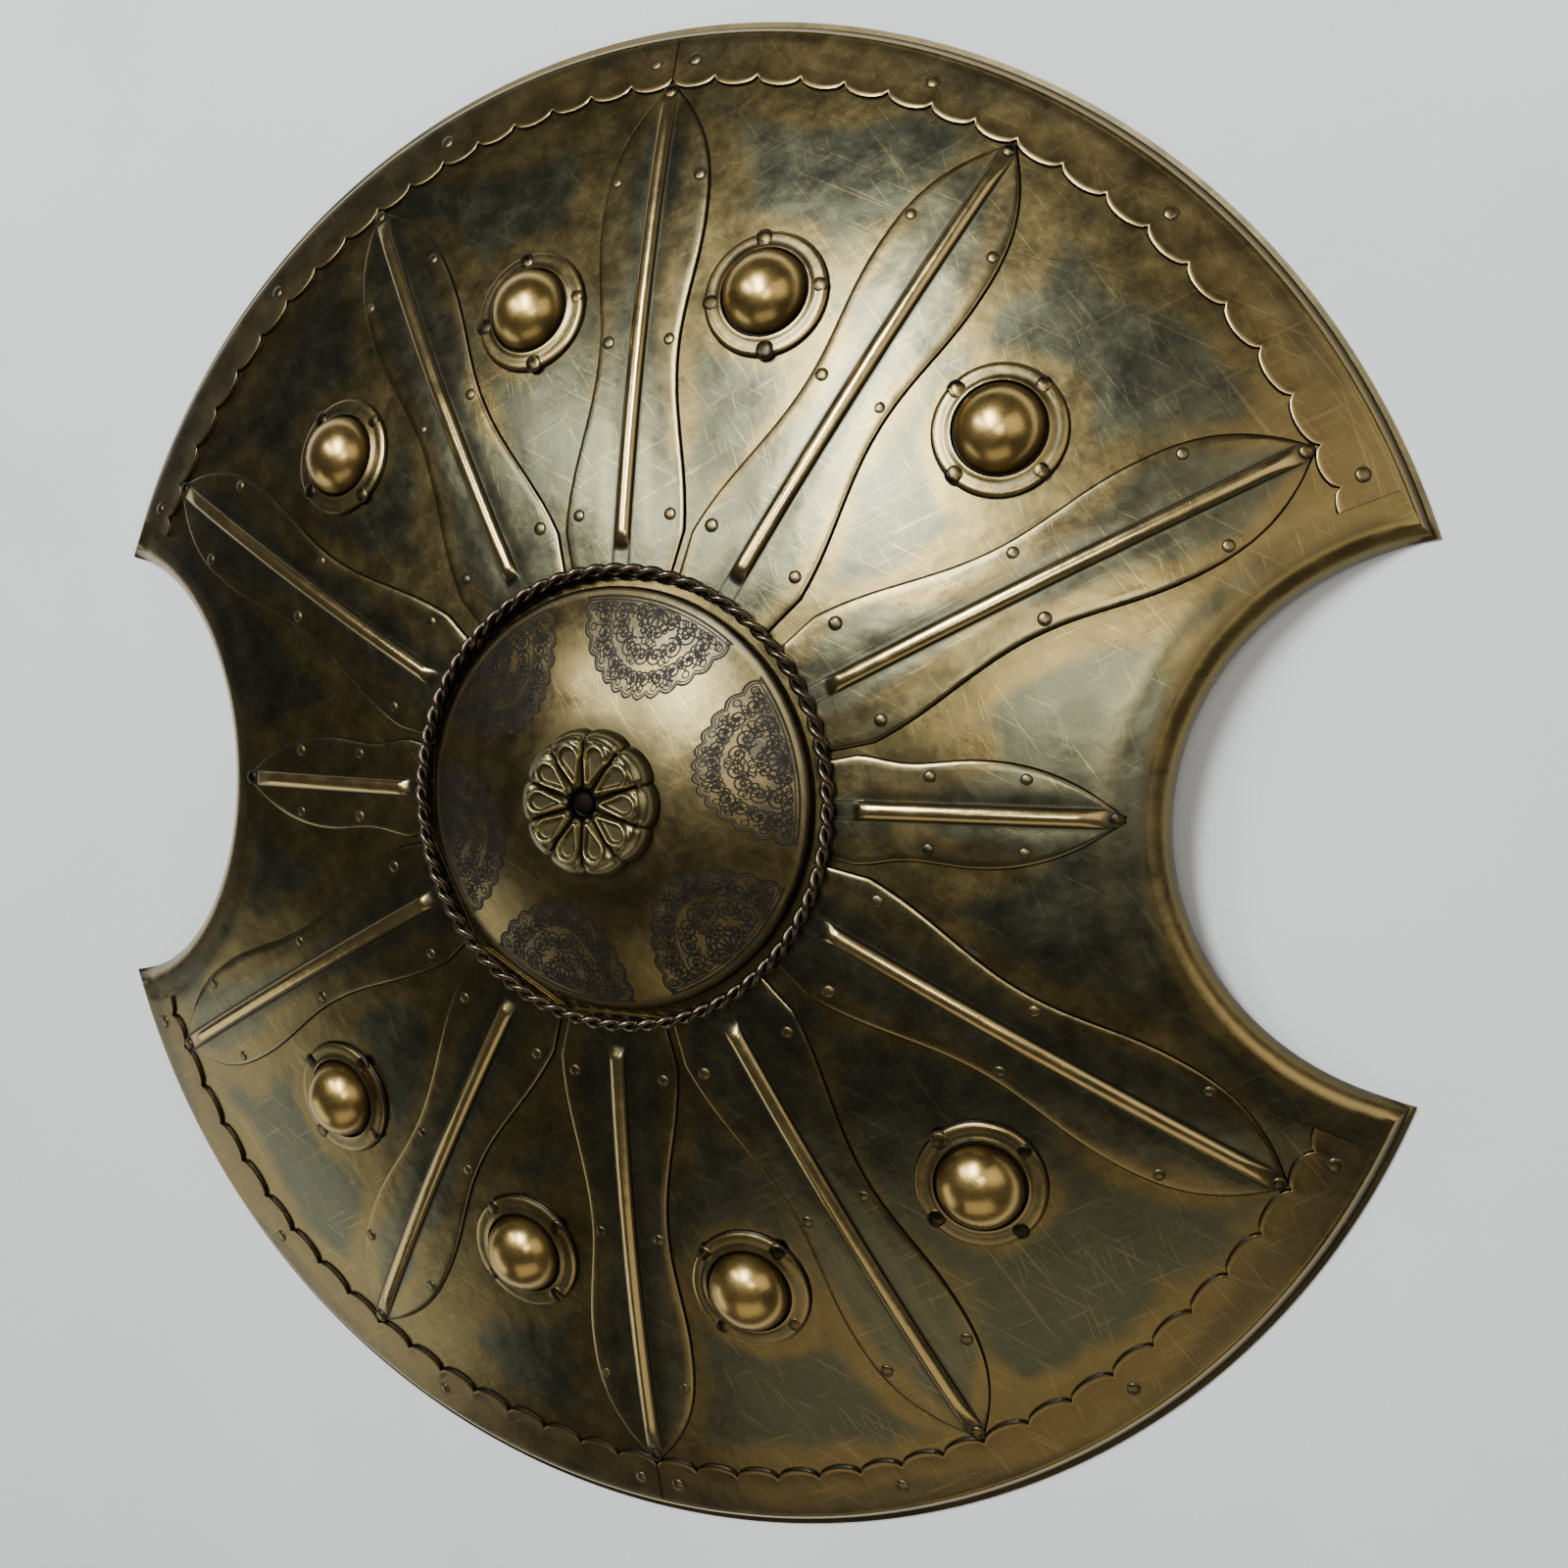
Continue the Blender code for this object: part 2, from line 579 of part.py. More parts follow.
def make_strap(name, strap, collection):
    """Leather loop under the dish, open along X, its feet flat against the plate."""
    loop_half = strap.span / 2
    end = loop_half + STRAP_FOOT
    loop = [loop_half * (2 * step / LOOP_STEPS - 1) for step in range(LOOP_STEPS + 1)]
    edges = (-strap.width / 2, 0, strap.width / 2)
    rings = []
    for y in [-end] + loop + [end]:
        share = max(0, 1 - (abs(y) / loop_half) ** LOOP_FLATNESS)
        face = strap.drop * share ** LOOP_ROUNDING + STRAP_GAP
        section = [(across, face) for across in edges]
        section += [(across, face + strap.leather) for across in reversed(edges)]
        ring = []
        for across, below in section:
            x = strap.place + across
            ring.append((x, y, plate_under(sqrt(x * x + y * y)) - below))
        rings.append(ring)
    mesh_object(name, loft(rings, "face", "face"), collection, (0.10, 0.05, 0.025), 0.6, metallic=0)


def main():
    for obj in list(bpy.data.objects):
        bpy.data.objects.remove(obj, do_unlink=True)
    collection = bpy.data.collections.new("shield")
    bpy.context.scene.collection.children.link(collection)
    make_base_plate(collection)
    for name, across, up in (("border_band_upper_right", 1, 1), ("border_band_upper_left", -1, 1),
                             ("border_band_lower_left", -1, -1), ("border_band_lower_right", 1, -1)):
        make_band(name, across, up, collection)
    make_leaves(collection)
    make_small_bosses(collection)
    make_middle_boss(collection)
    make_wire_ring(collection)
    make_rosette(collection)
    make_rosette_screw(collection)
    make_strap("arm_strap", ARM_STRAP, collection)
    make_strap("hand_strap", HAND_STRAP, collection)


main()
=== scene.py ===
from math import acos, atan2, cos, degrees, dist, exp, hypot, pi, radians, sin, sqrt, tan

import bpy
from mathutils import Euler, Matrix, Vector


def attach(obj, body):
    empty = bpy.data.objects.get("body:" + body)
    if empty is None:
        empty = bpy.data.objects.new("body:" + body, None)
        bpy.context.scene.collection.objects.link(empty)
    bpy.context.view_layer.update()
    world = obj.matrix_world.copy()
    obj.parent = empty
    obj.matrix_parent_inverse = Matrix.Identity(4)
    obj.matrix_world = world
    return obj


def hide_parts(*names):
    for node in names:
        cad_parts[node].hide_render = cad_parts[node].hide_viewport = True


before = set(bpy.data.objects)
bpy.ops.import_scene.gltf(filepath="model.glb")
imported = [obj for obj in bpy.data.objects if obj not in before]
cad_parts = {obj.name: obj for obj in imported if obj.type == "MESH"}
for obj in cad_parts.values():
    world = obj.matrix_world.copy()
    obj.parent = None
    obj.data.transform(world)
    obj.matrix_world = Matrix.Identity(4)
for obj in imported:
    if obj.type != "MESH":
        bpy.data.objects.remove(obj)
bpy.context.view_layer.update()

# Metres throughout. The shield lies face up on its hem, its middle over the origin,
# the right-hand bite towards +X and its top towards +Y.
shield = {
    "rimRadius": 0.305,
    "biteRadius": 0.100,
    "sheet": 0.0012,
    "dishCurve": 0.900,
    "apex": 0.0565,
    "seatGap": 0.0003,
    "sideLeafAngle": 27.6,
    "midLeafAngle": 60.2,
    "middleRadius": 0.0810,
    "wireThickness": 0.0055,
    "wireClearance": 0.00325,
}
wireRadius = shield["middleRadius"] + shield["wireClearance"] + shield["wireThickness"] / 2


def plateTop(radius):
    return shield["apex"] - radius ** 2 / (2 * shield["dishCurve"])


def plateUnder(radius):
    return plateTop(radius) - shield["sheet"] * sqrt(1 + (radius / shield["dishCurve"]) ** 2)


def dishNormal(x, y):
    return Vector((x / shield["dishCurve"], y / shield["dishCurve"], 1)).normalized()


def between(start, stop, share):
    return start + (stop - start) * share


def polar(radius, angle, x=0, y=0):
    return x + radius * cos(angle), y + radius * sin(angle)


def clamp(value, low=0.0, high=1.0):
    return max(low, min(high, value))


def bell(distance, width):
    return exp(-(distance / width) ** 2)


def peak(place, shape):  # a bell given as its strength, its place and its width
    strength, middle, width = shape
    return strength * bell(place - middle, width)


# Mesh tools. A point is (x, y, z, polish and highlight, grime and shade, bay), and the last three may be
# left out:
# the first is where handling has brightened the metal and where a highlight is painted, the second where
# dirt sits and where shade is painted, and bay how far a point is from the pieces round it.
def keepAttributes(mesh, points):
    for column, label in enumerate(("polishAndHighlight", "grimeAndShade", "bay")):
        values = [point[3 + column] if len(point) > 3 + column else 0.0 for point in points]
        mesh.attributes.new(label, "FLOAT", "POINT").data.foreach_set("value", values)


def turnFacesOut(mesh):
    volume = 0.0
    for face in mesh.polygons:
        corners = [mesh.vertices[i].co for i in face.vertices]
        for second, third in zip(corners[1:], corners[2:]):
            volume += corners[0].dot(second.cross(third))
    if volume < 0:
        mesh.flip_normals()


def addPiece(name, points, faces, material, sharpAt=50, closed=True):
    mesh = bpy.data.meshes.new(name)
    mesh.from_pydata([point[:3] for point in points], [], faces)
    keepAttributes(mesh, points)
    if closed:
        turnFacesOut(mesh)
    mesh.materials.append(material)
    mesh.shade_smooth()
    mesh.set_sharp_from_angle(angle=radians(sharpAt))
    piece = bpy.data.objects.new(name, mesh)
    bpy.context.scene.collection.objects.link(piece)
    return piece


def addSheet(name, points, faces, material):  # an open piece that faces up
    piece = addPiece(name, points, faces, material, closed=False)
    for face in piece.data.polygons:
        if face.normal.z < 0:
            face.flip()
    return piece


def loft(name, rings, material, caps=("face", "face"), sharpAt=50):
    points = [point for ring in rings for point in ring]
    width = len(rings[0])
    faces = []
    for row in range(len(rings) - 1):
        first = row * width
        for i in range(width):
            j = (i + 1) % width
            faces.append((first + i, first + j, first + width + j, first + width + i))
    for cap, first, order in ((caps[0], 0, -1), (caps[1], (len(rings) - 1) * width, 1)):
        ring = [first + i for i in range(width)][::order]
        if cap == "face":
            faces.append(tuple(ring))
        else:
            points.append(cap)
            for i in range(width):
                faces.append((ring[i], ring[(i + 1) % width], len(points) - 1))
    return addPiece(name, points, faces, material, sharpAt)


# A turned piece: its profile runs from a point on its axis down the outside to another one
def turned(name, profile, steps, material, place=None, sharpAt=50):
    rings = []
    for radius, height, *marks in profile[1:-1]:
        ring = []
        for step in range(steps):
            angle = 2 * pi * step / steps
            ring.append((*polar(radius, angle), height, *marks))
        rings.append(ring)
    top = (0, 0, *profile[0][1:])
    bottom = (0, 0, *profile[-1][1:])
    if place is not None:
        rings = [[(*(place @ Vector(point[:3])), *point[3:]) for point in ring] for ring in rings]
        top = (*(place @ Vector(top[:3])), *top[3:])
        bottom = (*(place @ Vector(bottom[:3])), *bottom[3:])
    return loft(name, rings, material, (top, bottom), sharpAt)


def seat(x, y, height, up):  # a place with its own Z along up
    spin = Vector((0, 0, 1)).rotation_difference(up).to_matrix().to_4x4()
    return Matrix.Translation((x, y, height)) @ spin


# Shader tools
def shaderNode(tree, kind, **settings):
    node = tree.nodes.new(kind)
    for key, value in settings.items():
        setattr(node, key, value)
    return node


def newShaderGroup(name, sockets):
    group = bpy.data.node_groups.new(name, "ShaderNodeTree")
    for label, direction, kind, value in sockets:
        socket = group.interface.new_socket(name=label, in_out=direction, socket_type="NodeSocket" + kind)
        if value is not None:
            socket.default_value = value
    return group, group.nodes.new("NodeGroupInput"), group.nodes.new("NodeGroupOutput")


def feed(tree, socket, value):  # a socket takes a link or a value
    if isinstance(value, bpy.types.NodeSocket):
        tree.links.new(value, socket)
    elif value is not None:
        socket.default_value = value


def maths(tree, operation, first, second=None, third=None, clampIt=False):
    node = shaderNode(tree, "ShaderNodeMath", operation=operation, use_clamp=clampIt)
    for socket, value in zip(node.inputs, (first, second, third)):
        feed(tree, socket, value)
    return node.outputs[0]


def blendColours(tree, share, first, second, way="MIX"):
    node = shaderNode(tree, "ShaderNodeMix", data_type="RGBA", blend_type=way)
    feed(tree, node.inputs["Factor"], share)
    feed(tree, node.inputs["A"], first)
    feed(tree, node.inputs["B"], second)
    return node.outputs["Result"]


def noise(tree, place, scale, detail=3.0, roughness=0.5):
    node = shaderNode(tree, "ShaderNodeTexNoise")
    feed(tree, node.inputs["Vector"], place)
    feed(tree, node.inputs["Scale"], scale)
    node.inputs["Detail"].default_value = detail
    node.inputs["Roughness"].default_value = roughness
    return node.outputs


def remap(tree, value, low, high, newLow=0.0, newHigh=1.0, way="SMOOTHSTEP"):
    node = shaderNode(tree, "ShaderNodeMapRange", interpolation_type=way)
    for socket, given in zip(node.inputs, (value, low, high, newLow, newHigh)):
        feed(tree, socket, given)
    return node.outputs[0]


def readAttribute(tree, label):
    return shaderNode(tree, "ShaderNodeAttribute", attribute_name=label).outputs["Fac"]


# Tarnish: clouds of dark grey-green in the middle of each bay, with a warm brown border
tarnishLook = {
    "warpScale": 14.0,
    "warpReach": 0.045,
    "bayPull": 0.28,
    "cloudEdge": 0.13,
    "borderReach": 0.10,
    "mottleScale": 70.0,
    "mottleDark": 0.72,
    "mottleLight": 1.22,
}


def buildTarnish():
    look = tarnishLook
    group, given, result = newShaderGroup("tarnish", [
        ("Place", "INPUT", "Vector", None),
        ("Bay", "INPUT", "Float", 0.0),
        ("Ground", "INPUT", "Color", None),
        ("Cloud", "INPUT", "Color", None),
        ("Border", "INPUT", "Color", None),
        ("Cloud Scale", "INPUT", "Float", 9.0),
        ("Cover", "INPUT", "Float", 0.5),
        ("Border Strength", "INPUT", "Float", 0.6),
        ("Color", "OUTPUT", "Color", None),
        ("Mottle", "OUTPUT", "Float", None)])
    place = given.outputs["Place"]
    shifted = shaderNode(group, "ShaderNodeVectorMath", operation="MULTIPLY_ADD")
    feed(group, shifted.inputs[0], noise(group, place, look["warpScale"], 2.0)["Color"])
    shifted.inputs[1].default_value = (look["warpReach"],) * 3
    feed(group, shifted.inputs[2], place)
    clouds = noise(group, shifted.outputs[0], given.outputs["Cloud Scale"], 4.0, 0.55)["Fac"]
    field = maths(group, "MULTIPLY_ADD", given.outputs["Bay"], look["bayPull"], clouds)
    low = maths(group, "SUBTRACT", 1.0, given.outputs["Cover"])
    mask = remap(group, field, low, maths(group, "ADD", low, look["cloudEdge"]))
    border = remap(group, field, maths(group, "SUBTRACT", low, look["borderReach"]), low)
    border = maths(group, "MULTIPLY", border, maths(group, "SUBTRACT", 1.0, mask))
    border = maths(group, "MULTIPLY", border, given.outputs["Border Strength"])
    colour = blendColours(group, border, given.outputs["Ground"], given.outputs["Border"])
    colour = blendColours(group, mask, colour, given.outputs["Cloud"])
    mottle = noise(group, place, look["mottleScale"], 6.0, 0.7)["Fac"]
    shade = remap(group, mottle, 0.25, 0.75, look["mottleDark"], look["mottleLight"], "LINEAR")
    shade = blendColours(group, 1.0, colour, shade, "MULTIPLY")
    feed(group, result.inputs["Color"], shade)
    feed(group, result.inputs["Mottle"], mottle)
    return group


# Marks: soft dents from the hammer and fine scratches from handling
marksLook = {
    "dentScale": 16.0,
    "dimpleScale": 75.0,
    "dimpleDepth": 0.34,
    "grainScale": 520.0,
    "grainDepth": 0.024,
    # each run's turn, and its cells to the metre along and across
    "scratchRuns": ((0.5, 30, 900), (-0.9, 22, 700), (1.9, 40, 1100), (2.7, 26, 800)),
    "scratchFrom": 0.63,
    "scratchTo": 0.72,
    "scratchDepth": 0.02,
}


def buildMarks():
    look = marksLook
    group, given, result = newShaderGroup("marks", [
        ("Place", "INPUT", "Vector", None),
        ("Dents", "INPUT", "Float", 1.0),
        ("Scratches", "INPUT", "Float", 0.5),
        ("Height", "OUTPUT", "Float", None),
        ("Streak", "OUTPUT", "Float", None)])
    place = given.outputs["Place"]
    wide = noise(group, place, look["dentScale"], 2.0, 0.4)["Fac"]
    small = noise(group, place, look["dimpleScale"], 2.0, 0.5)["Fac"]
    dents = maths(group, "MULTIPLY_ADD", small, look["dimpleDepth"], wide)
    grain = noise(group, place, look["grainScale"], 3.0, 0.6)["Fac"]
    dents = maths(group, "MULTIPLY_ADD", grain, look["grainDepth"], dents)
    height = maths(group, "MULTIPLY", dents, given.outputs["Dents"])
    streak = None
    for turn, along, across in look["scratchRuns"]:
        mapping = shaderNode(group, "ShaderNodeMapping", vector_type="TEXTURE")
        feed(group, mapping.inputs["Vector"], place)
        mapping.inputs["Rotation"].default_value = (0, 0, turn)
        mapping.inputs["Scale"].default_value = (1 / along, 1 / across, 1 / along)
        line = remap(group, noise(group, mapping.outputs[0], 1.0, 2.0, 0.5)["Fac"],
                     look["scratchFrom"], look["scratchTo"])
        streak = line if streak is None else maths(group, "MAXIMUM", streak, line)
    streak = maths(group, "MULTIPLY", streak, given.outputs["Scratches"])
    feed(group, result.inputs["Height"],
         maths(group, "MULTIPLY_ADD", streak, -look["scratchDepth"], height))
    feed(group, result.inputs["Streak"], streak)
    return group


# Wear and painted light: bright metal where polish and painted highlights say so, dark where dirt and
# painted shade say so, both ragged
wearAndPaintedLightLook = {"raggedness": 0.8, "streakBrightness": 0.35}


def buildWearAndPaintedLight():
    group, given, result = newShaderGroup("wearAndPaintedLight", [
        ("Color", "INPUT", "Color", None),
        ("Polish", "INPUT", "Float", 0.0),
        ("Grime", "INPUT", "Float", 0.0),
        ("Streak", "INPUT", "Float", 0.0),
        ("Mottle", "INPUT", "Float", 0.5),
        ("Bright", "INPUT", "Color", None),
        ("Dirt", "INPUT", "Color", None),
        ("Color", "OUTPUT", "Color", None),
        ("Bright Mask", "OUTPUT", "Float", None),
        ("Dirt Mask", "OUTPUT", "Float", None)])
    ragged = maths(group, "MULTIPLY_ADD", given.outputs["Mottle"], wearAndPaintedLightLook["raggedness"],
                   -wearAndPaintedLightLook["raggedness"] / 2)
    polishAndHighlight = maths(group, "ADD", given.outputs["Polish"],
                   maths(group, "MULTIPLY", ragged, given.outputs["Polish"]), clampIt=True)
    streak = maths(group, "MULTIPLY", given.outputs["Streak"], wearAndPaintedLightLook["streakBrightness"])
    bright = maths(group, "MAXIMUM", polishAndHighlight, streak)
    grimeAndShade = maths(group, "ADD", given.outputs["Grime"],
                  maths(group, "MULTIPLY", ragged, given.outputs["Grime"]), clampIt=True)
    colour = blendColours(group, bright, given.outputs["Color"], given.outputs["Bright"])
    colour = blendColours(group, grimeAndShade, colour, given.outputs["Dirt"])
    feed(group, result.inputs["Color"], colour)
    feed(group, result.inputs["Bright Mask"], bright)
    feed(group, result.inputs["Dirt Mask"], grimeAndShade)
    return group


tarnish = buildTarnish()
marks = buildMarks()
wearAndPaintedLight = buildWearAndPaintedLight()


def groupNode(tree, group, **values):
    node = shaderNode(tree, "ShaderNodeGroup", node_tree=group)
    for label, value in values.items():
        feed(tree, node.inputs[label.replace("_", " ")], value)
    return node


def newMaterial(name):
    material = bpy.data.materials.new(name)
    material.use_nodes = True
    tree = material.node_tree
    place = shaderNode(tree, "ShaderNodeTexCoord").outputs["Object"]
    return material, tree, tree.nodes["Principled BSDF"], place


def addRelief(tree, shader, height, strength, distance):
    bump = shaderNode(tree, "ShaderNodeBump")
    bump.inputs["Strength"].default_value = strength
    bump.inputs["Distance"].default_value = distance
    feed(tree, bump.inputs["Height"], height)
    feed(tree, shader.inputs["Normal"], bump.outputs["Normal"])


metalLook = {
    "ground": (0.190, 0.142, 0.048),
    "cloud": (0.098, 0.095, 0.054),
    "border": (0.215, 0.152, 0.054),
    "bright": (0.62, 0.44, 0.17),
    # the dark colour, laid where dirt sits and where shade is painted
    "dirtAndShade": (0.012, 0.009, 0.005),
    "cloudScale": 9.0,
    "cover": 0.44,
    "borderStrength": 0.8,
    "dents": 1.0,
    "scratches": 0.5,
    "roughness": 0.26,
    "roughnessSpread": 0.06,
    "shine": 0.04,
    "dirtAndShadeRoughness": 0.30,
    "relief": 0.32,
    "reliefDepth": 0.002,
    "lacquer": 0.22,
    "lacquerRoughness": 0.30,
}


def agedMetal(name, **changes):
    look = {**metalLook, **changes}
    material, tree, shader, place = newMaterial(name)
    skin = groupNode(tree, tarnish, Place=place, Bay=readAttribute(tree, "bay"),
                     Ground=(*look["ground"], 1), Cloud=(*look["cloud"], 1), Border=(*look["border"], 1),
                     Cloud_Scale=look["cloudScale"], Cover=look["cover"],
                     Border_Strength=look["borderStrength"])
    wear = groupNode(tree, marks, Place=place, Dents=look["dents"], Scratches=look["scratches"])
    hand = groupNode(tree, wearAndPaintedLight, Polish=readAttribute(tree, "polishAndHighlight"),
                     Grime=readAttribute(tree, "grimeAndShade"), Streak=wear.outputs["Streak"],
                     Mottle=skin.outputs["Mottle"], Bright=(*look["bright"], 1),
                     Dirt=(*look["dirtAndShade"], 1))
    feed(tree, hand.inputs["Color"], skin.outputs["Color"])
    rough = remap(tree, skin.outputs["Mottle"], 0.3, 0.7, look["roughness"] - look["roughnessSpread"],
                  look["roughness"] + look["roughnessSpread"], "LINEAR")
    rough = maths(tree, "MULTIPLY_ADD", hand.outputs["Bright Mask"], -look["shine"], rough)
    rough = maths(tree, "MULTIPLY_ADD", hand.outputs["Dirt Mask"], look["dirtAndShadeRoughness"], rough,
                  clampIt=True)
    feed(tree, shader.inputs["Base Color"], hand.outputs["Color"])
    feed(tree, shader.inputs["Roughness"], rough)
    addRelief(tree, shader, wear.outputs["Height"], look["relief"], look["reliefDepth"])
    shader.inputs["Coat Weight"].default_value = look["lacquer"]
    shader.inputs["Coat Roughness"].default_value = look["lacquerRoughness"]
    shader.inputs["Metallic"].default_value = 1.0
    return material


plateMetal = agedMetal("agedPlate")
leafMetal = agedMetal("leafBronze", ground=(0.185, 0.145, 0.060), cover=0.42,
                      cloud=(0.115, 0.108, 0.060), roughness=0.24)
bandMetal = agedMetal("borderBrass", ground=(0.200, 0.138, 0.050), cover=0.40,
                      cloud=(0.140, 0.106, 0.046), roughness=0.31)
bossMetal = agedMetal("bossBrass", ground=(0.185, 0.150, 0.072), cloud=(0.120, 0.108, 0.056),
                      roughness=0.27, bright=(0.56, 0.37, 0.115), shine=0.0, cloudScale=40.0,
                      relief=0.42)
middleMetal = agedMetal("etchedBrass", ground=(0.255, 0.190, 0.076), cover=0.42,
                        cloud=(0.150, 0.112, 0.042), roughness=0.28)
fanMetal = agedMetal("etchedGround", ground=(0.120, 0.095, 0.050), cover=0.45,
                     cloud=(0.078, 0.062, 0.036), roughness=0.36, cloudScale=40.0, relief=0.12)
castMetal = agedMetal("castBrass", ground=(0.235, 0.190, 0.085), cover=0.30,
                      bright=(0.60, 0.48, 0.24), cloudScale=40.0, relief=0.10)
wireMetal = agedMetal("twistedWire", ground=(0.110, 0.080, 0.052), cover=0.30,
                      cloud=(0.070, 0.052, 0.036), roughness=0.24, cloudScale=30.0, relief=0.08)
rivetMetal = agedMetal("rivetBrass", ground=(0.165, 0.130, 0.060), cover=0.46,
                       cloud=(0.085, 0.075, 0.040), roughness=0.30, cloudScale=60.0, relief=0.15,
                       lacquer=0.1)
darkMetal = agedMetal("darkRivet", ground=(0.034, 0.027, 0.017), cloud=(0.018, 0.014, 0.010),
                      roughness=0.30, cloudScale=90.0, relief=0.40, lacquer=0.0)
# the screw is nearly black: dark metal, darkened further as painted shade of the bore it sits in
screwMetal = agedMetal("darkScrew", ground=(0.016, 0.012, 0.009), cover=0.30,
                       cloud=(0.010, 0.008, 0.006), roughness=0.55, bright=(0.10, 0.08, 0.05),
                       lacquer=0.0)


plainLook = {"roughnessSpread": 0.12, "relief": 0.3, "reliefDepth": 0.0001}


def plainMaterial(name, colour, roughness, metallic, variation, scale):
    material, tree, shader, place = newMaterial(name)
    grain = noise(tree, place, scale, 4.0, 0.6)["Fac"]
    shade = remap(tree, grain, 0.3, 0.7, 1 - variation, 1 + variation, "LINEAR")
    feed(tree, shader.inputs["Base Color"],
         blendColours(tree, 1.0, (*colour, 1), shade, "MULTIPLY"))
    spread = plainLook["roughnessSpread"]
    feed(tree, shader.inputs["Roughness"],
         remap(tree, grain, 0.3, 0.7, roughness - spread, roughness + spread, "LINEAR"))
    shader.inputs["Metallic"].default_value = metallic
    addRelief(tree, shader, grain, plainLook["relief"], plainLook["reliefDepth"])
    return material


etchInk = plainMaterial("etchedLines", (0.020, 0.015, 0.009), 0.55, 0.60, 0.35, 300.0)
grimeInk = plainMaterial("rivetGrime", (0.030, 0.023, 0.016), 0.70, 0.20, 0.40, 400.0)
floorPaint = plainMaterial("paleFloor", (0.97, 0.97, 0.95), 0.75, 0.0, 0.03, 6.0)
threadWax = plainMaterial("waxedThread", (0.36, 0.30, 0.20), 0.70, 0.0, 0.25, 900.0)


leatherLook = {
    "colour": (0.060, 0.030, 0.016),
    "worn": (0.170, 0.090, 0.045),
    "grainScale": 420.0,
    "stainScale": 45.0,
    "smooth": 0.42,
    "rough": 0.60,
    "relief": 0.35,
    "reliefDepth": 0.0006,
}


def strapLeather():
    look = leatherLook
    material, tree, shader, place = newMaterial("strapLeather")
    cells = shaderNode(tree, "ShaderNodeTexVoronoi", feature="SMOOTH_F1")
    feed(tree, cells.inputs["Vector"], place)
    cells.inputs["Scale"].default_value = look["grainScale"]
    stain = noise(tree, place, look["stainScale"], 5.0, 0.6)["Fac"]
    worn = maths(tree, "MULTIPLY", readAttribute(tree, "polishAndHighlight"), remap(tree, stain, 0.35, 0.65))
    colour = blendColours(tree, worn, (*look["colour"], 1), (*look["worn"], 1))
    shade = remap(tree, stain, 0.2, 0.8, 0.6, 1.4, "LINEAR")
    feed(tree, shader.inputs["Base Color"], blendColours(tree, 1.0, colour, shade, "MULTIPLY"))
    feed(tree, shader.inputs["Roughness"],
         remap(tree, stain, 0.3, 0.7, look["smooth"], look["rough"], "LINEAR"))
    addRelief(tree, shader, cells.outputs["Distance"], look["relief"], look["reliefDepth"])
    return material


leather = strapLeather()
print("materials ready")

# Leaves: the outline of one as a half width at each distance from the shield's middle
leafPlates = {
    "foot": shield["middleRadius"] + 0.0025,
    "sheet": 0.0010,
    "clearance": 0.0040,
    "tipHalf": 0.0006,
    "ribStart": wireRadius + 0.010,
    "ribHalf": 0.0034,
    "ribHeight": 0.0022,
    "ribRise": 0.0035,
    "ribToTip": 0.0060,
    "ribRoom": 0.7,
    "ribFall": 0.010,
    "ribBright": 0.85,
    "brightHeight": 0.0012,  # of the rib from which it is fully bright
    "pressedStart": 0.010,  # before the rib
    "pressedRise": 0.012,
    "pressedRoom": 0.010,
    # strength, distance from the rib or the edge, and width
    "hollow": (0.00005, 0.0010, 0.0012),
    "swell": (0.00013, 0.0062, 0.0050),
    "swellBright": (0.06, 0.0060, 0.0020),
    # the rib's foot is painted dark as shade
    "ribFootShade": (0.85, 0, 0.0006),
    "edgeRounding": (0.00025, 0, 0.00035),
    # the leaf's edge is painted bright as a highlight
    "edgeHighlight": (0.25, 0, 0.0005),
    "bayReach": 0.016,
    "shadeLineWidth": 0.0007,  # of the dark strip painted as shade in the corner along the edge
    "shadeLineHeight": 0.0004,
    "shadeLineDepth": 0.0002,
    # the leaf is painted darker over its last few millimetres to the tip
    "tipDarkening": 1.1,
    "tipDarkeningReach": 0.0085,
    "rows": 74,
    "longTip": 0.279,
    "shortTip": 0.191,
    "long": {"flareAt": 0.102, "waistAt": 0.170, "waistHalf": 0.0168,
             "bulgeAt": 0.224, "bulgeHalf": 0.0223, "tipPower": 2.6},
    "short": {"flareAt": 0.096, "waistAt": 0.116, "waistHalf": 0.0172,
              "bulgeAt": 0.140, "bulgeHalf": 0.0190, "tipPower": 2.2},
}


def roomForFoot(distance, spacing):
    return distance * tan(radians(spacing) / 2) - leafPlates["clearance"] / 2


def ease(start, stop, share):
    return between(start, stop, (1 - cos(pi * share)) / 2)


def leafWidths():
    spacing = min(90 - shield["midLeafAngle"], shield["midLeafAngle"] - shield["sideLeafAngle"])
    flare = roomForFoot(leafPlates["long"]["flareAt"], spacing)
    foot = roomForFoot(leafPlates["foot"], spacing)
    room = 2 * roomForFoot(leafPlates["short"]["flareAt"], shield["sideLeafAngle"])
    shortFlare = room - flare * leafPlates["short"]["flareAt"] / leafPlates["long"]["flareAt"]
    shortFoot = 2 * roomForFoot(leafPlates["foot"], shield["sideLeafAngle"]) - foot
    return {"long": (foot, flare), "short": (shortFoot, shortFlare)}


feetOfLeaves = leafWidths()


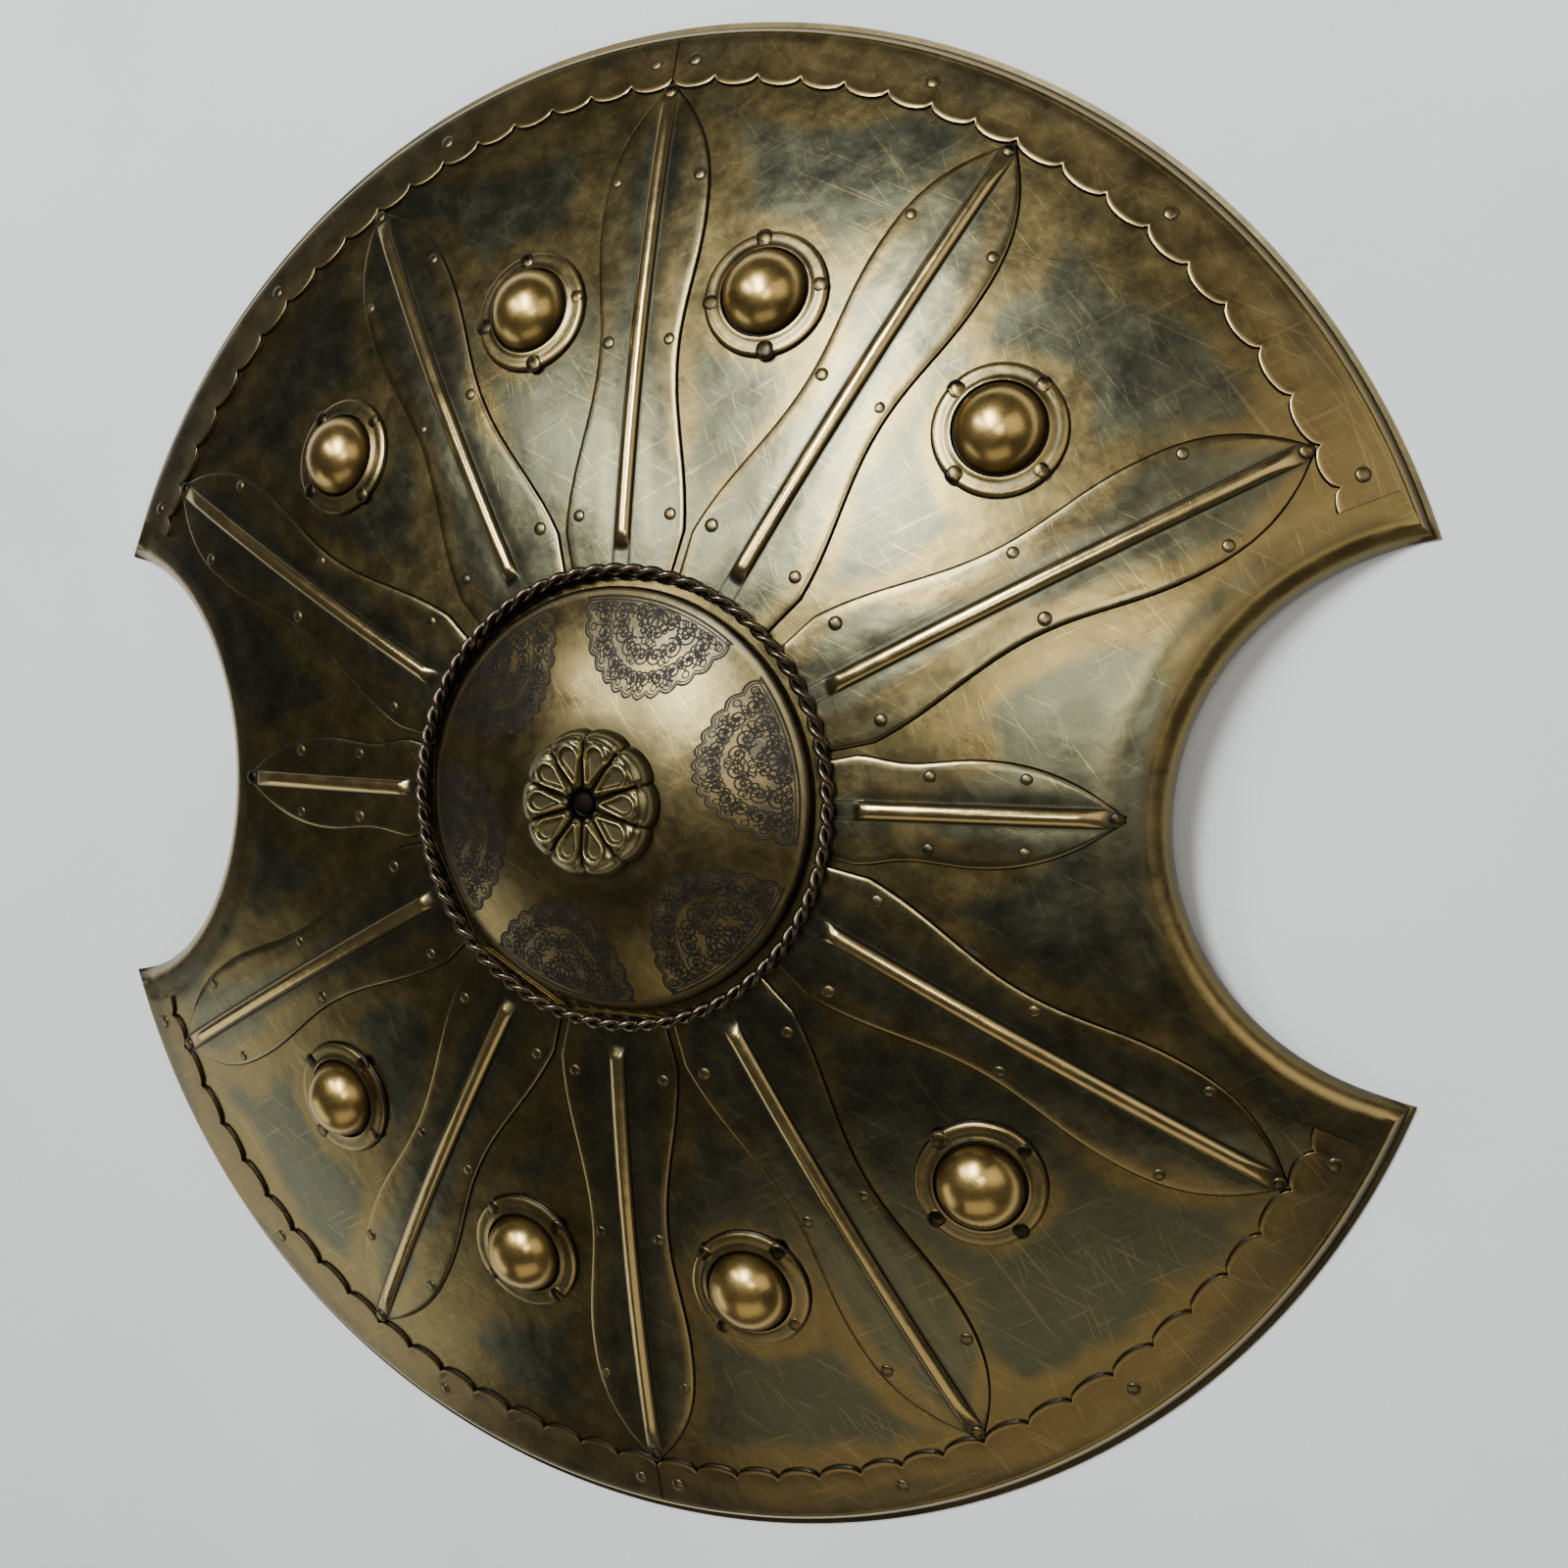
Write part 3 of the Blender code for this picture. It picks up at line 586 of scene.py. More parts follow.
def leafHalfWidth(kind, distance):
    shape = leafPlates[kind]
    foot, flare = feetOfLeaves[kind]
    tip = leafPlates[kind + "Tip"]
    if distance < shape["flareAt"]:
        share = (distance - leafPlates["foot"]) / (shape["flareAt"] - leafPlates["foot"])
        return between(foot, flare, clamp(share))
    if distance < shape["waistAt"]:
        share = (distance - shape["flareAt"]) / (shape["waistAt"] - shape["flareAt"])
        return ease(flare, shape["waistHalf"], share)
    if distance < shape["bulgeAt"]:
        share = (distance - shape["waistAt"]) / (shape["bulgeAt"] - shape["waistAt"])
        return ease(shape["waistHalf"], shape["bulgeHalf"], share)
    share = min(1, (distance - shape["bulgeAt"]) / (tip - shape["bulgeAt"]))
    return max(leafPlates["tipHalf"], shape["bulgeHalf"] * (1 - share ** shape["tipPower"]))


def leafAngles():
    angles = {}
    for number, angle in enumerate((0, shield["sideLeafAngle"], shield["midLeafAngle"], 90)):
        angles[number] = angle
        angles[6 - number] = 180 - angle
        angles[(6 + number) % 12] = 180 + angle
        angles[(12 - number) % 12] = (360 - angle) % 360
    return [angles[number] for number in range(12)]


leaves = [("short" if number in (0, 6) else "long", angle) for number, angle in enumerate(leafAngles())]
smallBosses = {
    "circle": 0.1967,
    "radius": 0.0243,
    "domeRadius": 0.0164,
    "domeHeight": 0.0130,
    "domeFoot": 0.0008,
    "lip": 0.0021,
    "sheet": 0.0015,
    "steps": 56,
    "domeRows": 14,
    "domeBright": 0.95,
    # the dome is painted dark at its foot as shade
    "domeFootShade": 0.9,
    # out from the dome or the flange's radius, over the lip or the sheet, polish and highlight, grime and
    # shade, bay; the recess round the dome and the flange's outer wall are painted dark as shade, the lip
    # and the flange's outer bevel bright as highlights
    "recess": ((0.0004, -0.0014, 0, 1, 0), (0.0009, -0.0008, 0.1, 0.6, 0), (0.0013, 0, 0.45, 0, 0),
               (0.0019, -0.00005, 0.3, 0, 0), (0.0027, -0.00035, 0.1, 0.1, 0)),
    "step": ((0.0036, 0, 0.05, 0.1, 0), (0.0046, 0.00005, 0.1, 0, 0.2)),
    "edge": ((-0.0016, 0, 0.2, 0, 0), (-0.0008, -0.0001, 0.6, 0, 0), (0, -0.0006, 0.3, 0.2, 0),
             (0, -0.0011, 0, 1, 0), (0.0006, -0.0016, 0, 1, 0)),
    "rivetCircle": 0.0214,
    "rivetTurns": (47, 6, 12, 40, 50, 38, 55, 42),  # degrees, given one by one and so all different
}
highBoss = (90 + shield["midLeafAngle"]) / 2
lowBoss = (shield["midLeafAngle"] + shield["sideLeafAngle"]) / 2
angleOfBoss = [lowBoss, highBoss, 180 - highBoss, 180 - lowBoss,
               180 + lowBoss, 180 + highBoss, 360 - highBoss, 360 - lowBoss]


# How far a point of the plate is from the pieces round it, 1 at the full reach or more
bays = {"reach": 0.026, "outerRadius": 0.277, "biteMargin": 0.004, "bossWeight": 1.6}


def bayDepth(x, y):
    radius = hypot(x, y)
    fromBite = hypot(abs(x) - shield["rimRadius"], y) - shield["biteRadius"]
    distance = min(bays["outerRadius"] - radius, radius - wireRadius, fromBite - bays["biteMargin"])
    for kind, angle in leaves:
        turn = radians(angle)
        along = x * cos(turn) + y * sin(turn)
        across = abs(y * cos(turn) - x * sin(turn))
        if along > leafPlates["foot"]:
            beyond = max(0, along - leafPlates[kind + "Tip"])
            distance = min(distance, hypot(max(0, across - leafHalfWidth(kind, along)), beyond))
    for angle in angleOfBoss:
        turn = radians(angle)
        apart = dist((x, y), polar(smallBosses["circle"], turn))
        distance = min(distance, (apart - smallBosses["radius"]) * bays["bossWeight"])
    return clamp(distance / bays["reach"])


# Base plate: the dish with its skirt, flat hem and rounded bite edges, sheet thickness throughout
basePlate = {
    "hemWidth": 0.0020,
    "shoulderInset": 0.0065,
    "beadWidth": 0.0090,
    "beadDepth": 0.0080,
    "beadRunOut": 0.0080,
    "creaseInset": 0.0220,
    "creaseHeight": 0.0003,
    "creaseWidth": 0.004,
    "creaseBright": 0.10,
    "skirtPower": 0.85,
    # strength, place between the hem's edge at 0 and the shoulder at 1, and width
    # the shoulder and the bead's crest are painted bright as highlights; the lower skirt, the lower bead and
    # the corner where the bead meets the dish are painted dark as shade
    "rimHighlight": (0.45, 0.75, 0.15),
    "biteHighlight": (0.55, 0.62, 0.22),
    "biteCornerShade": (0.45, 1.0, 0.05),
    "biteShade": 0.95,
    "rimShade": 0.62,
    "rimShadeEnd": 0.72,
    "rimShadeFade": 0.2,
    "underEdgeDirt": 0.3,
    "underDarkening": 0.25,
    "underBay": 0.3,
    "borderShare": 0.30,  # of the waist, in rows that follow the outline
    "rimSteps": 116,
    "biteSteps": 54,
    "edgeRows": 10,
    "borderRows": 12,
    "innerRows": 26,
    "innerRadius": 0.045,
}


def skirtHeight(inset):  # over the floor, from the hem's edge up to the shoulder
    width = basePlate["shoulderInset"] - basePlate["hemWidth"]
    shoulder = plateTop(shield["rimRadius"] - basePlate["shoulderInset"])
    share = clamp((inset - basePlate["hemWidth"]) / width)
    return shield["sheet"] + (shoulder - shield["sheet"]) * sin(share * pi / 2) ** basePlate["skirtPower"]


def surfaceHeight(radius):
    inset = shield["rimRadius"] - radius
    if inset >= basePlate["shoulderInset"]:
        return plateTop(radius)
    return skirtHeight(inset)


def plateOutline(rimInset, biteInset):
    rim = shield["rimRadius"] - rimInset
    bite = shield["biteRadius"] + biteInset
    across = (rim ** 2 - bite ** 2 + shield["rimRadius"] ** 2) / (2 * shield["rimRadius"])
    up = sqrt(rim ** 2 - across ** 2)
    rimTip = atan2(up, across)
    biteTip = atan2(up, shield["rimRadius"] - across)
    runOut = basePlate["beadRunOut"] / bite
    half = []
    for step in range(basePlate["biteSteps"]):
        angle = biteTip * (2 * step / basePlate["biteSteps"] - 1)
        fade = clamp((biteTip - abs(angle)) / runOut)
        half.append((shield["rimRadius"] - bite * cos(angle), bite * sin(angle), fade))
    for step in range(basePlate["rimSteps"]):
        angle = rimTip + (pi - 2 * rimTip) * step / basePlate["rimSteps"]
        half.append((*polar(rim, angle), 0.0))
    return half + [(-x, -y, fade) for x, y, fade in half]


def edgeRow(rimInset, rimHeight, beadInset, beadDrop, lowest, onRim, onBite):
    ring = []
    for x, y, fade in plateOutline(rimInset, beadInset):
        onBead = surfaceHeight(hypot(x, y)) + beadDrop
        height = rimHeight + (max(lowest, onBead) - rimHeight) * fade
        polishAndHighlight, grimeAndShade = [between(rim, bite, fade) for rim, bite in zip(onRim, onBite)]
        ring.append((x, y, height, polishAndHighlight, grimeAndShade, 0.0))
    return ring


def plateEdge():  # rings from the hem's edge up to the shoulder, for the face and the underside
    shape = basePlate
    thick = shield["sheet"]
    top = []
    under = []
    for row in range(shape["edgeRows"] + 1):
        share = row / shape["edgeRows"]
        inset = shape["shoulderInset"] * share
        turn = pi / 2 * share
        beadInset = shape["beadWidth"] * (1 - cos(turn))
        beadDrop = shape["beadDepth"] * (sin(turn) - 1)
        rimShade = shape["rimShade"] * clamp((shape["rimShadeEnd"] - share) / shape["rimShadeFade"])
        biteShade = shape["biteShade"] * (1 - share) ** 2 + peak(share, shape["biteCornerShade"])
        top.append(edgeRow(inset, skirtHeight(inset), beadInset, beadDrop, thick,
                           (peak(share, shape["rimHighlight"]), rimShade),
                           (peak(share, shape["biteHighlight"]), biteShade)))
        innerInset = max(shape["beadWidth"] - (shape["beadWidth"] - thick) * cos(turn),
                         beadInset + thick * cos(turn) * 0.9)
        underInset = inset + thick * (1 - share) * 0.9
        underHeight = max(0.0, skirtHeight(inset) - thick * (1 + 0.35 * sin(share * pi)))
        look = (0.0, shape["underEdgeDirt"])
        under.append(edgeRow(underInset, underHeight, innerInset, beadDrop - thick * sin(turn), 0.0,
                             look, look))
    return top, under


def plateRings():  # rings inside the edge, round at last, as (x, y)
    shape = basePlate
    last = (shield["rimRadius"] - shield["biteRadius"]) * shape["borderShare"]
    rings = []
    for row in range(1, shape["borderRows"] + 1):
        share = row / shape["borderRows"]
        outline = plateOutline(between(shape["shoulderInset"], last, share),
                               between(max(shape["beadWidth"], shape["shoulderInset"]), last, share))
        rings.append([(x, y) for x, y, fade in outline])
    widest = rings[-1]
    for row in range(1, shape["innerRows"] + 1):
        share = row / shape["innerRows"]
        ring = []
        for x, y in widest:
            innerX, innerY = polar(shape["innerRadius"], atan2(y, x))
            ring.append((between(x, innerX, share), between(y, innerY, share)))
        rings.append(ring)
    return rings


def makeBasePlate():
    shape = basePlate
    top, under = plateEdge()
    underLook = (0.0, shape["underDarkening"], shape["underBay"])
    for ring in plateRings():
        face = []
        back = []
        for x, y in ring:
            fromBite = hypot(abs(x) - shield["rimRadius"], y) - shield["biteRadius"]
            crease = bell(fromBite - shape["creaseInset"], shape["creaseWidth"])
            height = plateTop(hypot(x, y)) + shape["creaseHeight"] * crease
            face.append((x, y, height, shape["creaseBright"] * crease, 0.0, bayDepth(x, y)))
            back.append((x, y, plateUnder(hypot(x, y)), *underLook))
        top.append(face)
        under.append(back)
    caps = ((0, 0, plateTop(0)), (0, 0, plateUnder(0), *underLook))
    return loft("basePlate", top[::-1] + under, plateMetal, caps, 40)


# Border bands: four strips with a scalloped inner edge and square ends
borderBands = {
    "sheet": 0.0010,
    "notchInset": 0.0240,
    "scallopDepth": 0.0038,
    "setback": 0.0200,
    "lobesPerBay": 8,
    "endLobes": 1.5,
    "seam": 0.0006,
    "stepsPerLobe": 12,
    "rows": (0, 0.03, 0.09, 0.2, 0.4, 0.6, 0.8, 0.94, 1),
    # strength, place between the lobes at 0 and the rim at 1, and width
    "edgeLift": (0.00035, 0, 0.14),
    "lobeRounding": (0.00022, 0, 0.015),
    "rimRounding": (0.00022, 1, 0.015),
    # the lobe and rim lines are painted highlights along the band's edges
    "lobeHighlight": (0.35, 0, 0.04),
    "rimHighlight": (0.40, 1, 0.05),
    "bayStart": 0.281,
    "bayReach": 0.02,
    "underDarkening": 0.8,
    "shadeLineWidth": 0.0008,  # of the dark strip painted as shade in the corner along the lobes
    "shadeLineHeight": 0.0004,
    "shadeLineDepth": 0.0002,
}


def tipOfRim():
    rim = shield["rimRadius"]
    return acos((2 * rim ** 2 - shield["biteRadius"] ** 2) / (2 * rim ** 2))


def scallopedEdge():
    shape = borderBands
    notch = shield["rimRadius"] - shape["notchInset"]
    end = degrees(tipOfRim() + shape["setback"] / shield["rimRadius"])
    stops = []
    for start, stop in ((90, shield["midLeafAngle"]), (shield["midLeafAngle"], shield["sideLeafAngle"])):
        for lobe in range(shape["lobesPerBay"]):
            pitch = (stop - start) / shape["lobesPerBay"]
            stops.append((start + pitch * lobe, pitch, 1.0))
    pitch = (end - shield["sideLeafAngle"]) / shape["endLobes"]
    stops += [(shield["sideLeafAngle"], pitch, 1.0), (shield["sideLeafAngle"] + pitch, pitch, 0.5)]
    edge = []
    for start, pitch, length in stops:
        steps = round(shape["stepsPerLobe"] * length)
        for step in range(steps + (length < 1)):
            share = step / shape["stepsPerLobe"]
            depth = shape["scallopDepth"] * sqrt(max(0, sin(pi * share)))
            edge.append((start + pitch * share, notch - depth))
    return edge


def makeBand(name, across, up):
    shape = borderBands
    outer = shield["rimRadius"] - basePlate["shoulderInset"] - shield["seatGap"]
    rings = []
    for angle, inner in scallopedEdge():
        top = []
        for share in shape["rows"]:
            radius = between(inner, outer, share)
            lift = shape["sheet"] + peak(share, shape["edgeLift"])
            lift -= peak(share, shape["lobeRounding"]) + peak(share, shape["rimRounding"])
            polishAndHighlight = clamp(peak(share, shape["lobeHighlight"]) + peak(share, shape["rimHighlight"]))
            top.append((radius, lift, polishAndHighlight, 0.0))
        # the band's underside and outer wall, and a dark strip flaring out under the lobes, are painted dark
        # as shade
        under = [(outer, 0, 0, shape["underDarkening"]), ((inner + outer) / 2, 0, 0, shape["underDarkening"]),
                 (inner - shape["shadeLineWidth"], -shape["shadeLineDepth"], 0, 1), (inner, shape["shadeLineHeight"], 0, 1)]
        ring = []
        for radius, lift, polishAndHighlight, grimeAndShade in top + under:
            x, y = polar(radius, radians(angle))
            x = max(x, shape["seam"] / 2)
            height = plateTop(radius) + shield["seatGap"] + lift
            bay = clamp((radius - shape["bayStart"]) / shape["bayReach"])
            ring.append((across * x, up * y, height, polishAndHighlight, grimeAndShade, bay))
        rings.append(ring)
    return loft(name, rings, bandMetal)


# Leaf plates: pointed at the rim, flared at the foot, with a half-round rib
def leafSection(half, rib):
    outward = (0.04, 0.09, 0.18, 0.3, 0.45, 0.62, 0.8, 0.93, 0.985, 1)
    right = [rib] + [between(rib, half, share) for share in outward]
    crown = [rib * sin(radians(turn)) for turn in range(-75, 90, 15)]
    return [-across for across in right[::-1]] + crown + right


def leafTop(shape, along, tip, half):  # one cross-section's upper side
    rib = min(shape["ribHalf"], half * shape["ribRoom"])
    rise = clamp((along - shape["ribStart"]) / shape["ribRise"])
    fall = clamp((tip - shape["ribToTip"] - along) / shape["ribFall"])
    ribHeight = shape["ribHeight"] * sqrt(1 - (1 - rise) ** 2) * fall ** 0.6
    pressed = clamp((along - shape["ribStart"] + shape["pressedStart"]) / shape["pressedRise"])
    pressed *= clamp((half - rib) / shape["pressedRoom"])
    tipDark = shape["tipDarkening"] * clamp(1 - (tip - along) / shape["tipDarkeningReach"])
    top = []
    for across in leafSection(half, rib):
        beside = abs(across) - rib
        fromEdge = half - abs(across)
        lift = shape["sheet"] - peak(fromEdge, shape["edgeRounding"])
        lift += pressed * (peak(beside, shape["swell"]) - peak(beside, shape["hollow"]))
        polishAndHighlight = max(pressed * peak(beside, shape["swellBright"]), peak(fromEdge, shape["edgeHighlight"]))
        if beside < 0:
            roundness = sqrt(1 - (across / rib) ** 2)
            lift += ribHeight * roundness
            # the rib's golden polish fades towards its flanks, painted shade on the flanks
            bright = shape["ribBright"] * roundness ** 0.9 * clamp(ribHeight / shape["brightHeight"])
            polishAndHighlight = max(polishAndHighlight, bright)
        grimeAndShade = max(tipDark, peak(beside, shape["ribFootShade"]))
        top.append((along, across, lift, polishAndHighlight, grimeAndShade, clamp(fromEdge / shape["bayReach"])))
    return top


def makeLeaf(name, kind, angle):
    shape = leafPlates
    tip = shape[kind + "Tip"]
    rings = []
    for row in range(shape["rows"] + 1):
        along = between(shape["foot"], tip, row / shape["rows"])
        half = leafHalfWidth(kind, along)
        under = [(half, shape["shadeLineHeight"]), (half + shape["shadeLineWidth"], -shape["shadeLineDepth"])]
        back = [(half * share, 0) for share in (0.9, 0.5, 0, -0.5, -0.9)]
        under += back + [(-across, lift) for across, lift in under[::-1]]
        section = leafTop(shape, along, tip, half)
        # the leaf's edge wall, its underside and a dark strip flaring out onto the plate are painted dark as
        # shade
        section += [(along, across, lift, 0, 1.0, 0) for across, lift in under]
        ring = []
        for x, y, lift, *look in section:
            radius = hypot(x, y)
            turn = radians(angle) + atan2(y, x)
            ring.append((*polar(radius, turn), plateTop(radius) + shield["seatGap"] + lift, *look))
        rings.append(ring)
    return loft(name, rings, leafMetal, sharpAt=60)


# Small bosses: a golden dome in a recess, inside the lip of a round flange
def makeSmallBoss(name, angle):
    shape = smallBosses
    profile = [(0, shape["domeFoot"] + shape["domeHeight"], shape["domeBright"], 0, 0)]
    for step in range(1, shape["domeRows"] + 1):
        share = step / shape["domeRows"]
        profile.append((shape["domeRadius"] * sin(pi / 2 * share),
                        shape["domeFoot"] + shape["domeHeight"] * cos(pi / 2 * share),
                        shape["domeBright"] * (1 - share ** 4), shape["domeFootShade"] * share ** 6, 0))
    for start, base, offsets in (("domeRadius", "lip", "recess"), ("domeRadius", "sheet", "step"),
                                 ("radius", "sheet", "edge")):
        for out, over, *look in shape[offsets]:
            profile.append((shape[start] + out, shape[base] + over, *look))
    profile.append((0, 0, 0, 1, 0))
    x, y = polar(shape["circle"], radians(angle))
    place = seat(x, y, plateTop(shape["circle"]) + shield["seatGap"], dishNormal(x, y))
    return turned(name, profile, shape["steps"], bossMetal, place)


# Middle boss: a low dome with a turned-down edge
middleBoss = {
    "sheet": 0.0012,
    "rise": 0.0220,
    "wall": 0.0060,
    "rounding": 0.0022,
    "solidEdge": 0.0050,  # the solid's rounding, from which the dome's curve is taken
    # the dome is painted dark as shade next to the rosette and next to the wire ring
    "rosetteShade": 0.5,
    "rosetteShadeEnd": 0.034,
    "wireShade": 0.75,
    "wireShadeStart": 0.0745,
    "rosetteShadeFade": 0.006,
    "wireShadeFade": 0.005,
    "edgeRows": 6,
    "underRows": 5,
    "underInset": 0.0020,
    "bay": 0.5,
    "rows": 32,
    "steps": 180,
}
middleFoot = plateTop(shield["middleRadius"]) + shield["seatGap"]
middleEdge = shield["middleRadius"] - middleBoss["rounding"]


def middleTop(radius):
    edge = shield["middleRadius"] - middleBoss["solidEdge"]
    fall = (middleBoss["rise"] - middleBoss["wall"]) * (radius / edge) ** 2
    return middleFoot + middleBoss["rise"] - fall


def makeMiddleBoss():
    shape = middleBoss
    radius = shield["middleRadius"]
    edgeTop = middleTop(middleEdge) - middleFoot
    profile = [(0, middleTop(0))]
    for row in range(1, shape["rows"] + 1):
        place = middleEdge * row / shape["rows"]
        nearRosette = clamp((shape["rosetteShadeEnd"] - place) / shape["rosetteShadeFade"])
        nearWire = clamp((place - shape["wireShadeStart"]) / shape["wireShadeFade"])
        grimeAndShade = max(shape["rosetteShade"] * nearRosette, shape["wireShade"] * nearWire ** 2)
        profile.append((place, middleTop(place), 0.0, grimeAndShade, shape["bay"]))
    # the turned-down edge and its rim are painted dark as shade
    for row in range(1, shape["edgeRows"] + 1):
        turn = pi / 2 * row / shape["edgeRows"]
        profile.append((middleEdge + shape["rounding"] * sin(turn),
                        middleFoot + edgeTop - shape["rounding"] * (1 - cos(turn)), 0, 0.9, 0))
    profile += [(radius, middleFoot, 0, 1, 0), (radius - shape["sheet"], middleFoot, 0, 1, 0)]
    for row in range(shape["underRows"] + 1):
        place = (middleEdge - shape["underInset"]) * (1 - row / shape["underRows"])
        profile.append((place, middleTop(place) - shape["sheet"] * 1.05, 0, 1, 0))
    return turned("middleBoss", profile, shape["steps"], middleMetal)


# Etched fans on the middle boss: six half-round panels of scrollwork, drawn as flat lines
etchedFans = {
    "count": 6,
    "firstAngle": 14,
    "outerArc": 0.0772,
    "halfWidth": 0.0325,
    "depth": 0.0365,
    "lobes": 13,
    "groundLift": 0.00004,
    "lift": 0.00010,
    "line": 0.00030,
    "groundRows": 14,
    "lobeDepth": 0.055,
    "bars": ((0.0, 1.4), (0.0014, 0.8), (0.0060, 0.8)),  # distance from the straight side, weight
    "rims": ((0.0, 1.5), (0.0013, 0.9)),
    # how far out, how many, size, turns
    "scrolls": ((0.72, 11, 0.0038, 1.9), (0.47, 7, 0.0042, 1.9), (0.24, 4, 0.0032, 1.5)),
    # length, width, lean to the scroll's own side, further turn, weight
    "drops": ((0.0056, 0.0032, 0.9, 0, 1.0), (0.0048, 0.0026, 0.9, pi, 0.9),
              (0.0050, 0.0026, 2.2, 0, 0.8)),
    "lobeReach": 0.89,
    "lobeCircle": 0.0014,
    "lobeDrop": (0.0036, 0.0028),
    "scrollsUp": 0.0030,  # from the straight side
    "dots": ((1, 0.0008), (0.93, 0.0005)),  # how far out, size
    "heartPetals": 7,
    "heartDrop": (0.0068, 0.0030),
    "heartUp": 0.0022,
    "curls": 15,
    "curlReach": 0.84,
    "curlUp": 0.0037,
    "curl": (0.0018, 1.3),  # size, turns
}


def scroll(x, y, size, turns, start, hand):  # a spiral, open end first
    path = []
    steps = max(10, round(22 * turns))
    for step in range(steps + 1):
        share = step / steps
        angle = start + hand * 2 * pi * turns * share
        reach = size * (1 - share) ** 0.8
        path.append(polar(reach, angle, x, y))
    return path


def drop(x, y, length, width, angle):  # a closed teardrop, its point at x, y
    path = []
    for step in range(17):
        turn = 2 * pi * step / 16
        along = length * (1 - cos(turn)) / 2
        across = width * sin(turn) * (1 - cos(turn)) / 2.6
        path.append((x + along * cos(angle) - across * sin(angle),
                     y + along * sin(angle) + across * cos(angle)))
    return path


def circle(x, y, size, steps=10):
    return [polar(size, 2 * pi * i / steps, x, y) for i in range(steps + 1)]


# One fan in its own plane: x runs along the outer arc and y in towards the rosette
def fanRim(inset, share=1.0):
    shape = etchedFans
    rim = []
    for step in range(shape["lobes"] * 8 + 1):
        turn = pi * step / (shape["lobes"] * 8)
        notch = shape["lobeDepth"] * (1 - abs(sin(shape["lobes"] * turn)))
        swell = share * (1 - notch - inset / shape["depth"])
        rim.append((shape["halfWidth"] * swell * cos(turn), shape["depth"] * swell * sin(turn)))
    return rim


def fanPaths():
    shape = etchedFans
    wide = shape["halfWidth"]
    deep = shape["depth"]
    paths = []
    for inset, weight in shape["bars"]:
        width = wide - inset
        paths.append(([(between(-width, width, i / 40), inset) for i in range(41)], weight))
    for inset, weight in shape["rims"]:
        paths.append((fanRim(inset), weight))
    for lobe in range(shape["lobes"]):
        turn = pi * (lobe + 0.5) / shape["lobes"]
        x = wide * shape["lobeReach"] * cos(turn)
        y = deep * shape["lobeReach"] * sin(turn)
        paths.append((circle(x, y, shape["lobeCircle"]), 1.0))
        paths.append((drop(x * 0.95, y * 0.95, *shape["lobeDrop"], turn + pi), 0.9))
    for ring, (reach, count, size, turns) in enumerate(shape["scrolls"]):
        for number in range(count):
            turn = pi * (number + 0.5) / count
            x = wide * reach * cos(turn)
            y = shape["scrollsUp"] + deep * reach * sin(turn)
            hand = 1 if (number + ring) % 2 else -1
            paths.append((scroll(x, y, size, turns, turn + pi * ring, hand), 1.2))
            paths.append((scroll(x, y, size * 0.75, 1.2, turn + pi * (ring + 1), hand), 0.8))
            for length, width, lean, more, weight in shape["drops"]:
                paths.append((drop(x, y, length, width, turn + lean * hand + more), weight))
            dotX = wide * (reach + 0.01) * cos(turn + pi / count / 2)
            dotY = shape["scrollsUp"] + deep * (reach + 0.01) * sin(turn + pi / count / 2)
            for out, dot in shape["dots"]:
                paths.append((circle(dotX * out, dotY * out, dot, 6), 1.2))
    for petal in range(shape["heartPetals"]):
        turn = pi * (petal + 0.5) / shape["heartPetals"]
        paths.append((drop(0, shape["heartUp"], *shape["heartDrop"], turn), 1.0))
    for step in range(shape["curls"]):
        share = 2 * step / (shape["curls"] - 1) - 1
        x = wide * shape["curlReach"] * share
        paths.append((scroll(x, shape["curlUp"], *shape["curl"], pi / 2, 1 if share < 0 else -1), 0.9))
    return paths


def onDome(middle, x, y, lift):  # a fan's own place on the dome
    shape = etchedFans
    radius = shape["outerArc"] - y
    angle = middle + x / (shape["outerArc"] - y * 0.35)
    return (*polar(radius, angle), middleTop(radius) + lift)


def fanAngles():
    shape = etchedFans
    return [radians(shape["firstAngle"] + 360 / shape["count"] * i) for i in range(shape["count"])]


def makeFanGrounds():
    shape = etchedFans
    rows = shape["groundRows"]
    points = []
    faces = []
    for middle in fanAngles():
        first = len(points)
        for row in range(rows + 1):
            ring = fanRim(0, row / rows)
            points += [onDome(middle, x, y, shape["groundLift"]) for x, y in ring]
        width = len(ring)
        for row in range(rows):
            for i in range(width - 1):
                corner = first + row * width + i
                faces.append((corner, corner + 1, corner + width + 1, corner + width))
    return addSheet("etchedGround", points, faces, fanMetal)


def makeEtchedFans():
    shape = etchedFans
    paths = fanPaths()
    points = []
    faces = []
    for middle in fanAngles():
        for path, weight in paths:
            half = shape["line"] * weight
            for step, (x, y) in enumerate(path):
                before = path[max(0, step - 1)]
                after = path[min(len(path) - 1, step + 1)]
                length = hypot(after[0] - before[0], after[1] - before[1]) or 1
                sideX = (before[1] - after[1]) / length * half
                sideY = (after[0] - before[0]) / length * half
                points.append(onDome(middle, x - sideX, y - sideY, shape["lift"]))
                points.append(onDome(middle, x + sideX, y + sideY, shape["lift"]))
                if step:
                    last = len(points)
                    faces.append((last - 4, last - 3, last - 1, last - 2))
    return addSheet("etchedScrollwork", points, faces, etchInk)


